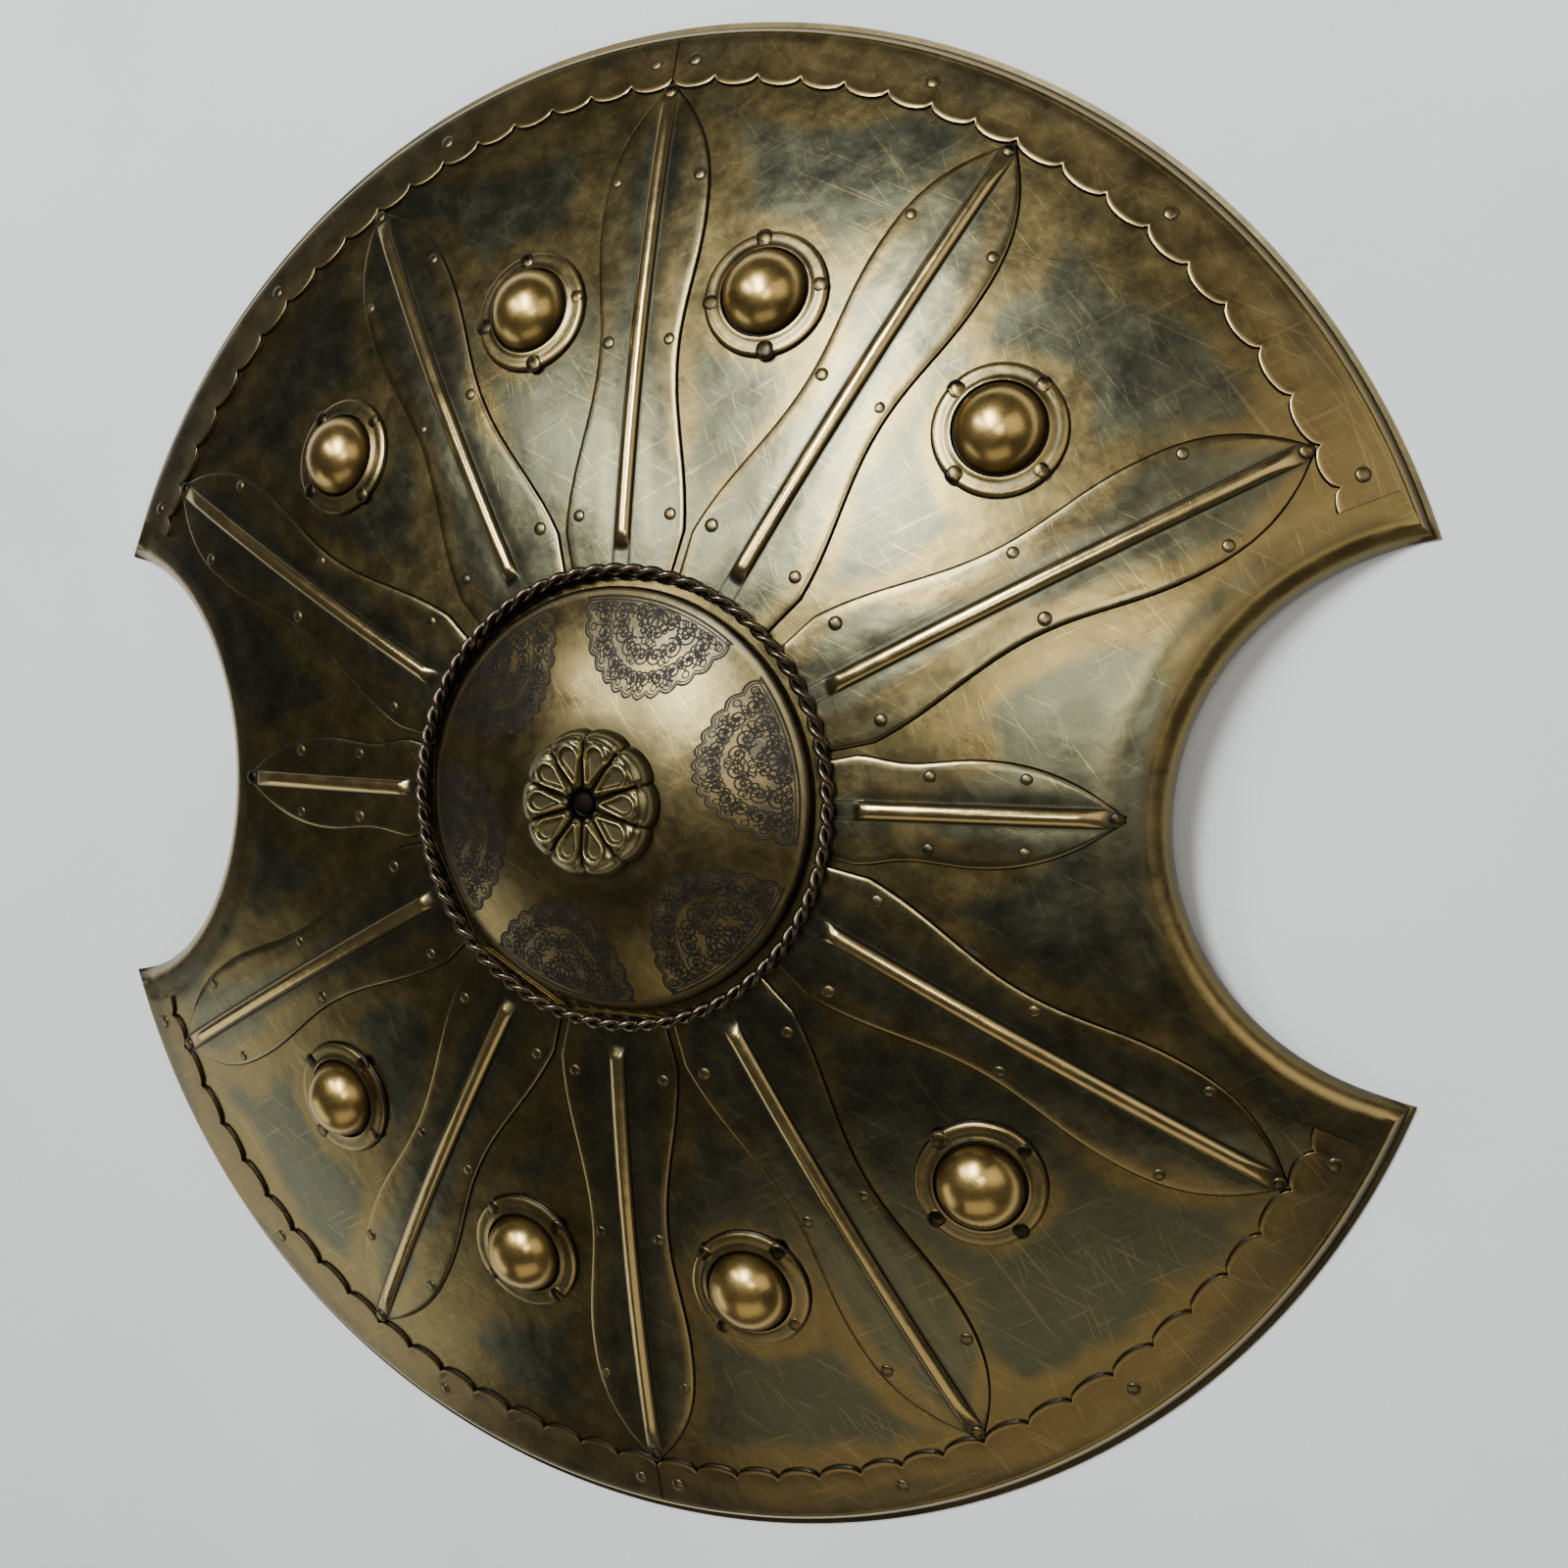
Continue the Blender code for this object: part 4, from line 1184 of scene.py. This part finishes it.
# Rosette: a cast flower of ten petals, each a raised loop round a sunk drop
rosette = {
    "radius": 0.0280,
    "face": 0.0240,
    "height": 0.0085,
    "petals": 10,
    "hole": 0.0058,
    "notch": 0.93,
    "dropStart": 0.0088,
    "dropEnd": 0.0180,
    "pointSize": 0.0006,
    "dropSize": 0.0041,
    "faceDrop": 0.0015,
    "ridge": (0.0014, 0, 0.00085),  # height, distance from the drop's outline, width
    "sunk": 0.0007,
    "valley": (0.0008, 0, 0.0015),  # depth, distance from a petal's side, width
    "crack": (0.0009, 0, 0.00045),
    "faceTilt": 0.0002,
    "edgeDrop": 0.0010,
    "edgeRows": 5,
    "hubShade": 0.0074,
    "hubShadeFade": 0.0012,
    "ridgeBright": 0.9,
    "crackShade": 0.9,
    "valleyShade": 0.35,
    "sunkShade": 0.50,
    "sunkStart": 0.0003,  # inside the drop's outline
    "sunkRise": 0.0008,
    "bore": ((0.94, 0.0030), (0.90, 0.0046), (0.80, 0.0050)),  # share of the hole, depth
    "stepsPerPetal": 48,
    "rows": 60,
}
rosetteTop = middleTop(0) + rosette["height"]


# Distance from the outline of a drop that widens from its point to its round outer end
def dropDistance(radius, across):
    shape = rosette
    length = shape["dropEnd"] - shape["dropStart"]
    lean = (shape["pointSize"] - shape["dropSize"]) / length
    upright = sqrt(1 - lean ** 2)
    out, along = abs(across), radius - shape["dropStart"]
    reach = upright * along - lean * out
    if reach < 0:
        return hypot(out, along) - shape["pointSize"]
    if reach > upright * length:
        return hypot(out, along - length) - shape["dropSize"]
    return upright * out + lean * along - shape["pointSize"]


def petalHeight(radius, across):
    shape = rosette
    toSide = radius * tan(pi / shape["petals"]) - abs(across)
    share = clamp((radius - shape["hole"]) / (shape["face"] - shape["hole"]))
    distance = dropDistance(radius, across)
    ridge, valley, crack = shape["ridge"], shape["valley"], shape["crack"]
    inside = clamp((-distance - shape["sunkStart"]) / shape["sunkRise"])
    hub = clamp((shape["hubShade"] - radius) / shape["hubShadeFade"])
    height = rosetteTop - shape["faceDrop"] + shape["faceTilt"] * share
    height += peak(distance, ridge) - shape["sunk"] * inside - peak(toSide, valley) - peak(toSide, crack)
    polishAndHighlight = shape["ridgeBright"] * clamp(bell(distance, ridge[2]) * 1.4 - 0.25) * (1 - hub)
    # the hub, the grooves between petals and the sunk drops are painted dark as shade
    grimeAndShade = shape["crackShade"] * bell(toSide, crack[2]) + shape["valleyShade"] * bell(toSide, valley[2])
    return height, polishAndHighlight, clamp(grimeAndShade + shape["sunkShade"] * inside + hub)


def makeRosette():
    shape = rosette
    count = shape["petals"] * shape["stepsPerPetal"]
    seatHeight = middleTop(shape["radius"]) + shield["seatGap"]
    underHeight = middleTop(shape["radius"] / 2) + shield["seatGap"]
    floorHeight = rosetteTop - shape["bore"][-1][1]
    rings = [[] for i in range(shape["rows"] + shape["edgeRows"] + 6)]
    for step in range(count):
        angle = 2 * pi * (step / shape["stepsPerPetal"] + 0.5) / shape["petals"]
        place = (step % shape["stepsPerPetal"]) / shape["stepsPerPetal"] * 2 - 1  # -1 and 1 in a groove
        scallop = shape["notch"] + (1 - shape["notch"]) * sqrt(max(0, 1 - place ** 2))
        column = [(shape["radius"] / 2, underHeight, 0, 1), (shape["radius"] * scallop, seatHeight, 0, 1)]
        faceEdge = shape["face"] * scallop
        edgeHeight = petalHeight(faceEdge, faceEdge * tan(pi / shape["petals"]) * place)[0]
        edgeHeight -= shape["edgeDrop"]
        # the outer wall is painted darker towards its foot as shade
        for row in range(1, shape["edgeRows"] + 1):
            share = row / (shape["edgeRows"] + 1)
            radius = between(shape["radius"] * scallop, faceEdge, 1 - cos(pi / 2 * share))
            column.append((radius, between(seatHeight, edgeHeight, sin(pi / 2 * share)),
                           0.35 * share, 0.5 * (1 - share)))
        for row in range(shape["rows"] + 1):
            radius = between(faceEdge, shape["hole"], row / shape["rows"])
            height, polishAndHighlight, grimeAndShade = petalHeight(radius, radius * tan(pi / shape["petals"]) * place)
            height -= shape["edgeDrop"] * bell(row, 1.0)
            column.append((radius, height, polishAndHighlight, grimeAndShade))
        # the bore is painted dark as shade
        for share, depth in shape["bore"]:
            column.append((shape["hole"] * share, rosetteTop - depth, 0, 1))
        for ring, (radius, height, polishAndHighlight, grimeAndShade) in zip(rings, column):
            ring.append((*polar(radius, angle), height, polishAndHighlight, grimeAndShade, 0))
    caps = ((0, 0, middleTop(0) + shield["seatGap"], 0, 1, 0), (0, 0, floorHeight, 0, 1, 0))
    return loft("castRosette", rings, castMetal, caps, 70)


rosetteScrew = {"radius": 0.00422, "rim": 0.0007, "dome": 0.0015, "domeRows": 6, "steps": 24}


def makeRosetteScrew():
    shape = rosetteScrew
    base = rosetteTop - rosette["bore"][-1][1] + shield["seatGap"]
    profile = [(0, base + shape["rim"] + shape["dome"], 0, 0.2, 0)]
    for row in range(1, shape["domeRows"] + 1):
        turn = pi / 2 * row / shape["domeRows"]
        profile.append((shape["radius"] * sin(turn), base + shape["rim"] + shape["dome"] * cos(turn),
                        0, 0.3, 0))
    profile += [(shape["radius"], base, 0, 1, 0), (0, base, 0, 1, 0)]
    return turned("rosetteScrew", profile, shape["steps"], screwMetal)


# Nicks and stray marks in the face, each a narrow dark sliver from one place to another
nicks = {
    "lift": 0.00008,
    "leastHalf": 0.00005,
    "steps": 6,
    # from x, y to x, y, and the width
    "marks": ((0.1672, 0.2118, 0.1700, 0.2143, 0.0009), (0.1650, 0.2148, 0.1678, 0.2170, 0.0008),
              (0.1540, 0.1984, 0.1580, 0.1974, 0.0005), (0.1345, -0.0472, 0.1425, -0.0512, 0.0016),
              (0.0204, 0.2370, 0.0212, 0.2400, 0.0010), (-0.0700, 0.1480, -0.0655, 0.1468, 0.0005),
              (0.0420, -0.2240, 0.0452, -0.2215, 0.0006), (0.1200, -0.1760, 0.1216, -0.1722, 0.0006)),
}


def makeNicks():
    points = []
    faces = []
    for startX, startY, stopX, stopY, width in nicks["marks"]:
        length = hypot(stopX - startX, stopY - startY)
        for step in range(nicks["steps"] + 1):
            share = step / nicks["steps"]
            half = width / 2 * sin(pi * share) ** 0.7 + nicks["leastHalf"]
            x = between(startX, stopX, share)
            y = between(startY, stopY, share)
            for side in (-half, half):
                turnedX = x - side * (stopY - startY) / length
                turnedY = y + side * (stopX - startX) / length
                height = plateTop(hypot(turnedX, turnedY)) + nicks["lift"]
                points.append((turnedX, turnedY, height))
            if step:
                last = len(points)
                faces.append((last - 4, last - 3, last - 1, last - 2))
    return addSheet("nicks", points, faces, grimeInk)


# Straps: leather loops under the dish, riveted through their feet
straps = {
    "foot": 0.030,
    "gap": 0.0012,
    "flatness": 2.6,
    "rounding": 0.75,
    "rows": 90,
    "bevel": 0.0012,
    "endRound": 0.006,
    "endNarrowing": 0.28,
    "rivetSize": 1.7,
    "stitchInset": 0.0035,
    "stitchPitch": 0.0055,
    "stitchMargin": 0.006,
    "stitchLength": 0.0036,
    "stitchThickness": 0.0009,
    "arm": {"place": 0.075, "width": 0.050, "span": 0.124, "drop": 0.036, "leather": 0.0035},
    "hand": {"place": -0.105, "width": 0.032, "span": 0.104, "drop": 0.034, "leather": 0.0045},
}


def strapFace(strap, y):  # depth of the loop's upper face under the plate
    share = max(0, 1 - (abs(y) / (strap["span"] / 2)) ** straps["flatness"])
    return strap["drop"] * share ** straps["rounding"] + straps["gap"]


def strapUnder(strap, x, y):  # height of the loop's lower face
    return plateUnder(hypot(x, y)) - strapFace(strap, y) - strap["leather"]


def strapSection(half, thick):  # across, below the upper face, how worn
    bevel = straps["bevel"]
    corner = bevel * 0.3
    right = [(half - bevel, 0, 0.3), (half - corner, corner, 1), (half, bevel, 1),
             (half, thick - bevel, 1), (half - corner, thick - corner, 1), (half - bevel, thick, 0.5),
             (half * 0.5, thick, 0.1)]
    left = [(-across, below, worn) for across, below, worn in right[::-1]]
    return left[-1:] + [(0, 0, 0)] + right + [(0, thick, 0)] + left[:-1]


def makeStrap(name, kind):
    strap = straps[kind]
    end = strap["span"] / 2 + straps["foot"]
    section = strapSection(strap["width"] / 2, strap["leather"])
    rings = []
    for row in range(straps["rows"] + 1):
        y = end * (2 * row / straps["rows"] - 1)
        fromEnd = clamp((end - abs(y)) / straps["endRound"])
        narrowed = 1 - straps["endNarrowing"] * (1 - sqrt(1 - (1 - fromEnd) ** 2))
        ring = []
        for across, below, worn in section:
            x = strap["place"] + across * narrowed
            height = plateUnder(hypot(x, y)) - strapFace(strap, y) - below
            ring.append((x, y, height, worn, 0, 0))
        rings.append(ring)
    return loft(name, rings, leather)


# Geometry tools
def geometryTree(name, sockets):
    tree = bpy.data.node_groups.new(name, "GeometryNodeTree")
    tree.interface.new_socket(name="Geometry", in_out="INPUT", socket_type="NodeSocketGeometry")
    for label, kind, value in sockets:
        socket = tree.interface.new_socket(name=label, in_out="INPUT", socket_type="NodeSocket" + kind)
        if value is not None:
            socket.default_value = value
    tree.interface.new_socket(name="Geometry", in_out="OUTPUT", socket_type="NodeSocketGeometry")
    return tree, tree.nodes.new("NodeGroupInput"), tree.nodes.new("NodeGroupOutput")


def treeNode(tree, kind, settings=None, **values):
    node = tree.nodes.new(kind)
    for key, value in (settings or {}).items():
        setattr(node, key, value)
    for label, value in values.items():
        feed(tree, node.inputs[label.replace("_", " ")], value)
    return node


def vector(tree, x, y, z):
    return treeNode(tree, "ShaderNodeCombineXYZ", X=x, Y=y, Z=z).outputs[0]


def finishTree(tree, geometry, material):
    smooth = treeNode(tree, "GeometryNodeSetShadeSmooth", Geometry=geometry)
    real = treeNode(tree, "GeometryNodeRealizeInstances", Geometry=smooth.outputs[0])
    made = treeNode(tree, "GeometryNodeSetMaterial", Geometry=real.outputs[0], Material=material)
    return made.outputs[0]


def scatter(tree, given, shape, label, material, scale=None):  # the shape's Z leans to an attribute
    way = treeNode(tree, "GeometryNodeInputNamedAttribute", {"data_type": "FLOAT_VECTOR"}, Name=label)
    lean = treeNode(tree, "FunctionNodeAlignRotationToVector", {"axis": "Z"}, Vector=way.outputs[0])
    placed = treeNode(tree, "GeometryNodeInstanceOnPoints", Points=given.outputs["Geometry"],
                      Instance=shape, Rotation=lean.outputs[0], Scale=scale)
    return finishTree(tree, placed.outputs[0], given.outputs[material])


# Rivets: a flattened dome on each point, leaning to its "up", in a ring of dirt
def buildRivets():
    tree, given, result = geometryTree("rivets", [
        ("Head Radius", "Float", 0.0023),
        ("Head Height", "Float", 0.0011),
        ("Dirt Radius", "Float", 0.0029),
        ("Uneven", "Float", 0.12),
        ("Seed", "Int", 4),
        ("Head Metal", "Material", None),
        ("Dirt", "Material", None)])
    radius = given.outputs["Head Radius"]
    head = treeNode(tree, "GeometryNodeMeshUVSphere", Segments=14, Rings=7, Radius=1.0).outputs["Mesh"]
    head = treeNode(tree, "GeometryNodeTransform", Geometry=head,
                    Scale=vector(tree, radius, radius, given.outputs["Head Height"])).outputs[0]
    stain = treeNode(tree, "GeometryNodeMeshCylinder", Vertices=18, Radius=given.outputs["Dirt Radius"],
                     Depth=rivets["dirtThickness"]).outputs["Mesh"]
    size = treeNode(tree, "GeometryNodeInputNamedAttribute", {"data_type": "FLOAT"}, Name="size")
    spread = treeNode(tree, "FunctionNodeRandomValue", {"data_type": "FLOAT"}, Seed=given.outputs["Seed"])
    least, most = [socket for socket in spread.inputs if socket.type == "VALUE"][:2]
    feed(tree, least, maths(tree, "SUBTRACT", 1.0, given.outputs["Uneven"]))
    feed(tree, most, maths(tree, "ADD", 1.0, given.outputs["Uneven"]))
    drawn = [socket for socket in spread.outputs if socket.type == "VALUE"][0]
    scale = maths(tree, "MULTIPLY", size.outputs[0], drawn)
    join = tree.nodes.new("GeometryNodeJoinGeometry")
    for shape, material in ((stain, "Dirt"), (head, "Head Metal")):
        feed(tree, join.inputs[0], scatter(tree, given, shape, "up", material, scale))
    feed(tree, result.inputs[0], join.outputs[0])
    return tree


# Stitches: a short capsule on each point, lying along its "run"
def buildStitches():
    tree, given, result = geometryTree("stitches", [
        ("Length", "Float", 0.0036),
        ("Thickness", "Float", 0.0009),
        ("Thread", "Material", None)])
    thread = treeNode(tree, "GeometryNodeMeshUVSphere", Segments=8, Rings=6, Radius=0.5).outputs["Mesh"]
    thick = given.outputs["Thickness"]
    thread = treeNode(tree, "GeometryNodeTransform", Geometry=thread,
                      Scale=vector(tree, thick, thick, given.outputs["Length"])).outputs[0]
    feed(tree, result.inputs[0], scatter(tree, given, thread, "run", "Thread"))
    return tree


# Twisted wire: strands wound round each other along a circle
def buildTwistedWire():
    tree, given, result = geometryTree("twistedWire", [
        ("Ring Radius", "Float", 0.087),
        ("Ring Height", "Float", 0.057),
        ("Wire Radius", "Float", 0.00137),
        ("Turns", "Int", 54),
        ("Points Per Turn", "Int", 14),
        ("Metal", "Material", None)])
    count = maths(tree, "MULTIPLY", given.outputs["Turns"], given.outputs["Points Per Turn"])
    share = treeNode(tree, "GeometryNodeSplineParameter").outputs["Factor"]
    around = maths(tree, "MULTIPLY", share, 2 * pi)
    join = tree.nodes.new("GeometryNodeJoinGeometry")
    for strand in range(2):
        base = treeNode(tree, "GeometryNodeCurvePrimitiveCircle", Resolution=count,
                        Radius=given.outputs["Ring Radius"]).outputs["Curve"]
        twist = maths(tree, "MULTIPLY_ADD", around, given.outputs["Turns"], pi * strand)
        reach = maths(tree, "MULTIPLY_ADD", given.outputs["Wire Radius"], maths(tree, "COSINE", twist),
                      given.outputs["Ring Radius"])
        height = maths(tree, "MULTIPLY_ADD", given.outputs["Wire Radius"], maths(tree, "SINE", twist),
                       given.outputs["Ring Height"])
        place = vector(tree, maths(tree, "MULTIPLY", reach, maths(tree, "COSINE", around)),
                       maths(tree, "MULTIPLY", reach, maths(tree, "SINE", around)), height)
        bent = treeNode(tree, "GeometryNodeSetPosition", Geometry=base, Position=place).outputs[0]
        section = treeNode(tree, "GeometryNodeCurvePrimitiveCircle", Resolution=8,
                           Radius=given.outputs["Wire Radius"]).outputs["Curve"]
        tube = treeNode(tree, "GeometryNodeCurveToMesh", Curve=bent, Profile_Curve=section).outputs[0]
        feed(tree, join.inputs[0], tube)
    feed(tree, result.inputs[0], finishTree(tree, join.outputs[0], given.outputs["Metal"]))
    return tree


def grow(name, tree, values, points=((0, 0, 0),), directions=None, label="up", sizes=None):
    mesh = bpy.data.meshes.new(name + "Points")
    mesh.from_pydata([tuple(point) for point in points], [], [])
    if directions:
        flat = [part for direction in directions for part in direction]
        mesh.attributes.new(label, "FLOAT_VECTOR", "POINT").data.foreach_set("vector", flat)
    if sizes:
        mesh.attributes.new("size", "FLOAT", "POINT").data.foreach_set("value", sizes)
    piece = bpy.data.objects.new(name, mesh)
    bpy.context.scene.collection.objects.link(piece)
    modifier = piece.modifiers.new("Shape", "NODES")
    modifier.node_group = tree
    for socket in tree.interface.items_tree:
        if socket.in_out == "INPUT" and socket.name in values:
            modifier[socket.identifier] = values[socket.name]
    graph = bpy.context.evaluated_depsgraph_get()
    plain = bpy.data.meshes.new_from_object(piece.evaluated_get(graph))
    piece.modifiers.remove(modifier)
    piece.data = plain
    plain.name = name
    return piece


# Where the rivets sit, as (along a leaf, across it, size)
rivets = {
    "longLeaf": ((0.240, 0.018, 1), (0.175, 0.013, 1), (0.108, 0.0195, 1)),
    "shortLeaf": ((0.123, 0.013, 1), (0.157, 0.013, 1)),
    "tipInset": 0.003,
    "tipSize": 1.15,
    "tipLift": 0.0003,
    "bandSize": 1.2,
    "bandAngles": (88.3, 68.4, 47.5, 24.5),
    "bandRadius": 0.289,
    "bossSize": 1.50,
    "headRadius": 0.0023,
    "headHeight": 0.0005,
    "tailRadius": 0.0027,
    "tailHeight": 0.0009,
    "dirtRing": 1.08,  # of the head's radius
    "dirtThickness": 0.00022,
    "uneven": 0.12,
}


def rivetSeats():
    onLeaves = []
    onTips = []
    for kind, angle in leaves:
        turn = radians(angle)
        for along, across, size in rivets[kind + "Leaf"]:
            for side in (-1, 1):
                onLeaves.append((along * cos(turn) - side * across * sin(turn),
                                 along * sin(turn) + side * across * cos(turn),
                                 leafPlates["sheet"], size))
        along = leafPlates[kind + "Tip"] - rivets["tipInset"]
        onTips.append((*polar(along, turn), leafPlates["sheet"] + rivets["tipLift"], rivets["tipSize"]))
    onBands = []
    for angle in rivets["bandAngles"]:
        x, y = polar(rivets["bandRadius"], radians(angle))
        for across, up in ((1, 1), (-1, 1), (-1, -1), (1, -1)):
            onBands.append((across * x, up * y, borderBands["sheet"], rivets["bandSize"]))
    onBosses = []
    for angle, turn in zip(angleOfBoss, smallBosses["rivetTurns"]):
        middle = polar(smallBosses["circle"], radians(angle))
        for corner in range(4):
            place = polar(smallBosses["rivetCircle"], radians(turn + 90 * corner), *middle)
            onBosses.append((*place, smallBosses["sheet"], rivets["bossSize"]))
    return {"leafRivets": onLeaves, "leafTipRivets": onTips, "bandRivets": onBands, "bossRivets": onBosses}


def strapRivetSeats(kind):
    strap = straps[kind]
    return [(strap["place"] + across * strap["width"] / 4, along * (strap["span"] + straps["foot"]) / 2,
             0, straps["rivetSize"]) for across in (-1, 1) for along in (-1, 1)]


def growRivets(name, places, tree, onBack=False, metal=rivetMetal, below=0):
    points = []
    ups = []
    sizes = []
    for x, y, lift, size in places:
        up = dishNormal(x, y)
        radius = hypot(x, y)
        height = plateUnder(radius) - below if onBack else plateTop(radius) + shield["seatGap"] + lift
        points.append((x, y, height))
        ups.append(-up if onBack else up)
        sizes.append(size)
    end = "tail" if onBack else "head"
    headRadius = rivets[end + "Radius"]
    values = {"Head Radius": headRadius, "Head Height": rivets[end + "Height"],
              "Dirt Radius": headRadius * rivets["dirtRing"], "Uneven": rivets["uneven"],
              "Seed": 4 + len(places), "Head Metal": metal, "Dirt": grimeInk}
    return grow(name, tree, values, points, ups, sizes=sizes)


def growStitches(name, kind, tree):
    strap = straps[kind]
    reach = strap["span"] / 2 + straps["foot"] - straps["stitchMargin"]
    count = round(2 * reach / straps["stitchPitch"])
    points = []
    runs = []
    for side in (-1, 1):
        x = strap["place"] + side * (strap["width"] / 2 - straps["stitchInset"])
        for step in range(count):
            y = reach * (2 * (step + 0.5) / count - 1)
            before, after = [strapUnder(strap, x, y + shift) for shift in (-0.001, 0.001)]
            points.append((x, y, strapUnder(strap, x, y)))
            runs.append(Vector((0, 0.002, after - before)).normalized())
    values = {"Length": straps["stitchLength"], "Thickness": straps["stitchThickness"],
              "Thread": threadWax}
    return grow(name, tree, values, points, runs, label="run")


def finishPiece(piece, slot, *nodes):
    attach(piece, "root")
    if nodes:
        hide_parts(*nodes)
    return piece


finishPiece(makeBasePlate(), "aged_plate", "base_plate")
print("base plate made")
for name, across, up in (("upper_right", 1, 1), ("upper_left", -1, 1),
                         ("lower_left", -1, -1), ("lower_right", 1, -1)):
    finishPiece(makeBand("scallopedBand_" + name, across, up), "border_brass", "border_band_" + name)
for number, (kind, angle) in enumerate(leaves, 1):
    finishPiece(makeLeaf("leafPlate%02d" % number, kind, angle), "leaf_bronze",
                "leaf_plate_%02d" % number)
finishPiece(makeNicks(), "aged_plate")
print("bands and leaves made")
for number, angle in enumerate(angleOfBoss, 1):
    finishPiece(makeSmallBoss("smallBoss%d" % number, angle), "boss_brass", "small_boss_%d" % number)
finishPiece(makeMiddleBoss(), "etched_brass", "middle_boss")
finishPiece(makeFanGrounds(), "etched_brass")
finishPiece(makeEtchedFans(), "etched_brass")
finishPiece(makeRosette(), "cast_brass", "rosette")
finishPiece(makeRosetteScrew(), "dark_screw", "rosette_screw")
print("bosses and rosette made")

wireFoot = plateTop(wireRadius) + leafPlates["sheet"] + 3 * shield["seatGap"]
wireValues = {
    "Ring Radius": wireRadius,
    "Ring Height": wireFoot + shield["wireThickness"] / 2,
    "Wire Radius": shield["wireThickness"] / 4,
    "Turns": 34,
    "Points Per Turn": 20,
    "Metal": wireMetal,
}
finishPiece(grow("twistedWireRing", buildTwistedWire(), wireValues), "twisted_wire", "wire_ring")

rivetTree = buildRivets()
for name, places in rivetSeats().items():
    metal = darkMetal if name in ("bossRivets", "leafTipRivets") else rivetMetal
    finishPiece(growRivets(name, places, rivetTree, metal=metal), "leaf_bronze")
    if name != "leafTipRivets":
        finishPiece(growRivets(name + "Tails", places, rivetTree, onBack=True), "leaf_bronze")
print("wire and rivets made")

for kind in ("arm", "hand"):
    finishPiece(makeStrap(kind + "Strap", kind), "strap_leather", kind + "_strap")
for kind in ("arm", "hand"):
    finishPiece(growRivets(kind + "StrapRivets", strapRivetSeats(kind), rivetTree, onBack=True,
                           below=straps["gap"] + straps[kind]["leather"]), "strap_leather")
stitchTree = buildStitches()
for kind in ("arm", "hand"):
    finishPiece(growStitches(kind + "StrapStitches", kind, stitchTree), "strap_leather")
print("straps made")

# The studio: a pale floor, soft lights and the camera
studio = {
    "floorSize": 6.0,
    "floorDrop": 0.0001,
    "world": (0.07, 0.07, 0.066),
    "cameraPlace": (0.3025, 0.0505, 0.61648),
    "cameraTurn": (-3.557, 22.622, 1.001),  # degrees about X, Y and Z
    "lens": 38.25,
}
softLights = {  # place, aim, width, height, watts, colour
    "keyLight": ((-0.20, 0.98, 1.84), (0.05, 0.10, 0), 0.40, 0.90, 38, (0.90, 0.96, 1.0)),
    "sideLight": ((-0.95, 0.80, 1.75), (0.0, 0.10, 0), 0.22, 0.80, 10, (0.92, 0.97, 1.0)),
    "ceilingLight": ((0.55, 0.30, 2.20), (0.05, 0, 0), 0.30, 0.55, 6.5, (0.96, 0.98, 0.95)),
    "rightFill": ((1.60, 0.70, 1.60), (0.10, 0, 0), 1.5, 1.5, 8, (1.0, 0.95, 0.86)),
    "leftFill": ((-1.90, -1.30, 0.60), (0, 0, 0), 1.4, 0.8, 5, (0.95, 1.0, 0.95)),
    "lowFill": ((0.3, -1.9, 1.5), (0, 0, 0), 2.2, 1.2, 5.5, (1.0, 0.95, 0.82)),
}


def makeStudio():
    scene = bpy.context.scene
    half = studio["floorSize"] / 2
    corners = [(x * half, y * half, -studio["floorDrop"]) for x, y in ((-1, -1), (1, -1), (1, 1), (-1, 1))]
    mesh = bpy.data.meshes.new("floor")
    mesh.from_pydata(corners, [], [(0, 1, 2, 3)])
    mesh.materials.append(floorPaint)
    floor = bpy.data.objects.new("floor", mesh)
    scene.collection.objects.link(floor)
    world = bpy.data.worlds.new("studio")
    world.use_nodes = True
    world.node_tree.nodes["Background"].inputs["Color"].default_value = (*studio["world"], 1)
    scene.world = world
    for name, (place, aim, width, height, watts, colour) in softLights.items():
        light = bpy.data.lights.new(name, "AREA")
        light.shape = "RECTANGLE"
        light.size = width
        light.size_y = height
        light.energy = watts
        light.color = colour
        lamp = bpy.data.objects.new(name, light)
        lamp.location = place
        lamp.rotation_euler = (Vector(aim) - Vector(place)).to_track_quat("-Z", "Y").to_euler()
        scene.collection.objects.link(lamp)
    camera = bpy.data.cameras.new("camera")
    camera.sensor_width = 36
    camera.lens = studio["lens"]
    viewer = bpy.data.objects.new("camera", camera)
    viewer.location = studio["cameraPlace"]
    viewer.rotation_euler = Euler([radians(turn) for turn in studio["cameraTurn"]])
    scene.collection.objects.link(viewer)
    scene.camera = viewer


makeStudio()
print("studio ready")
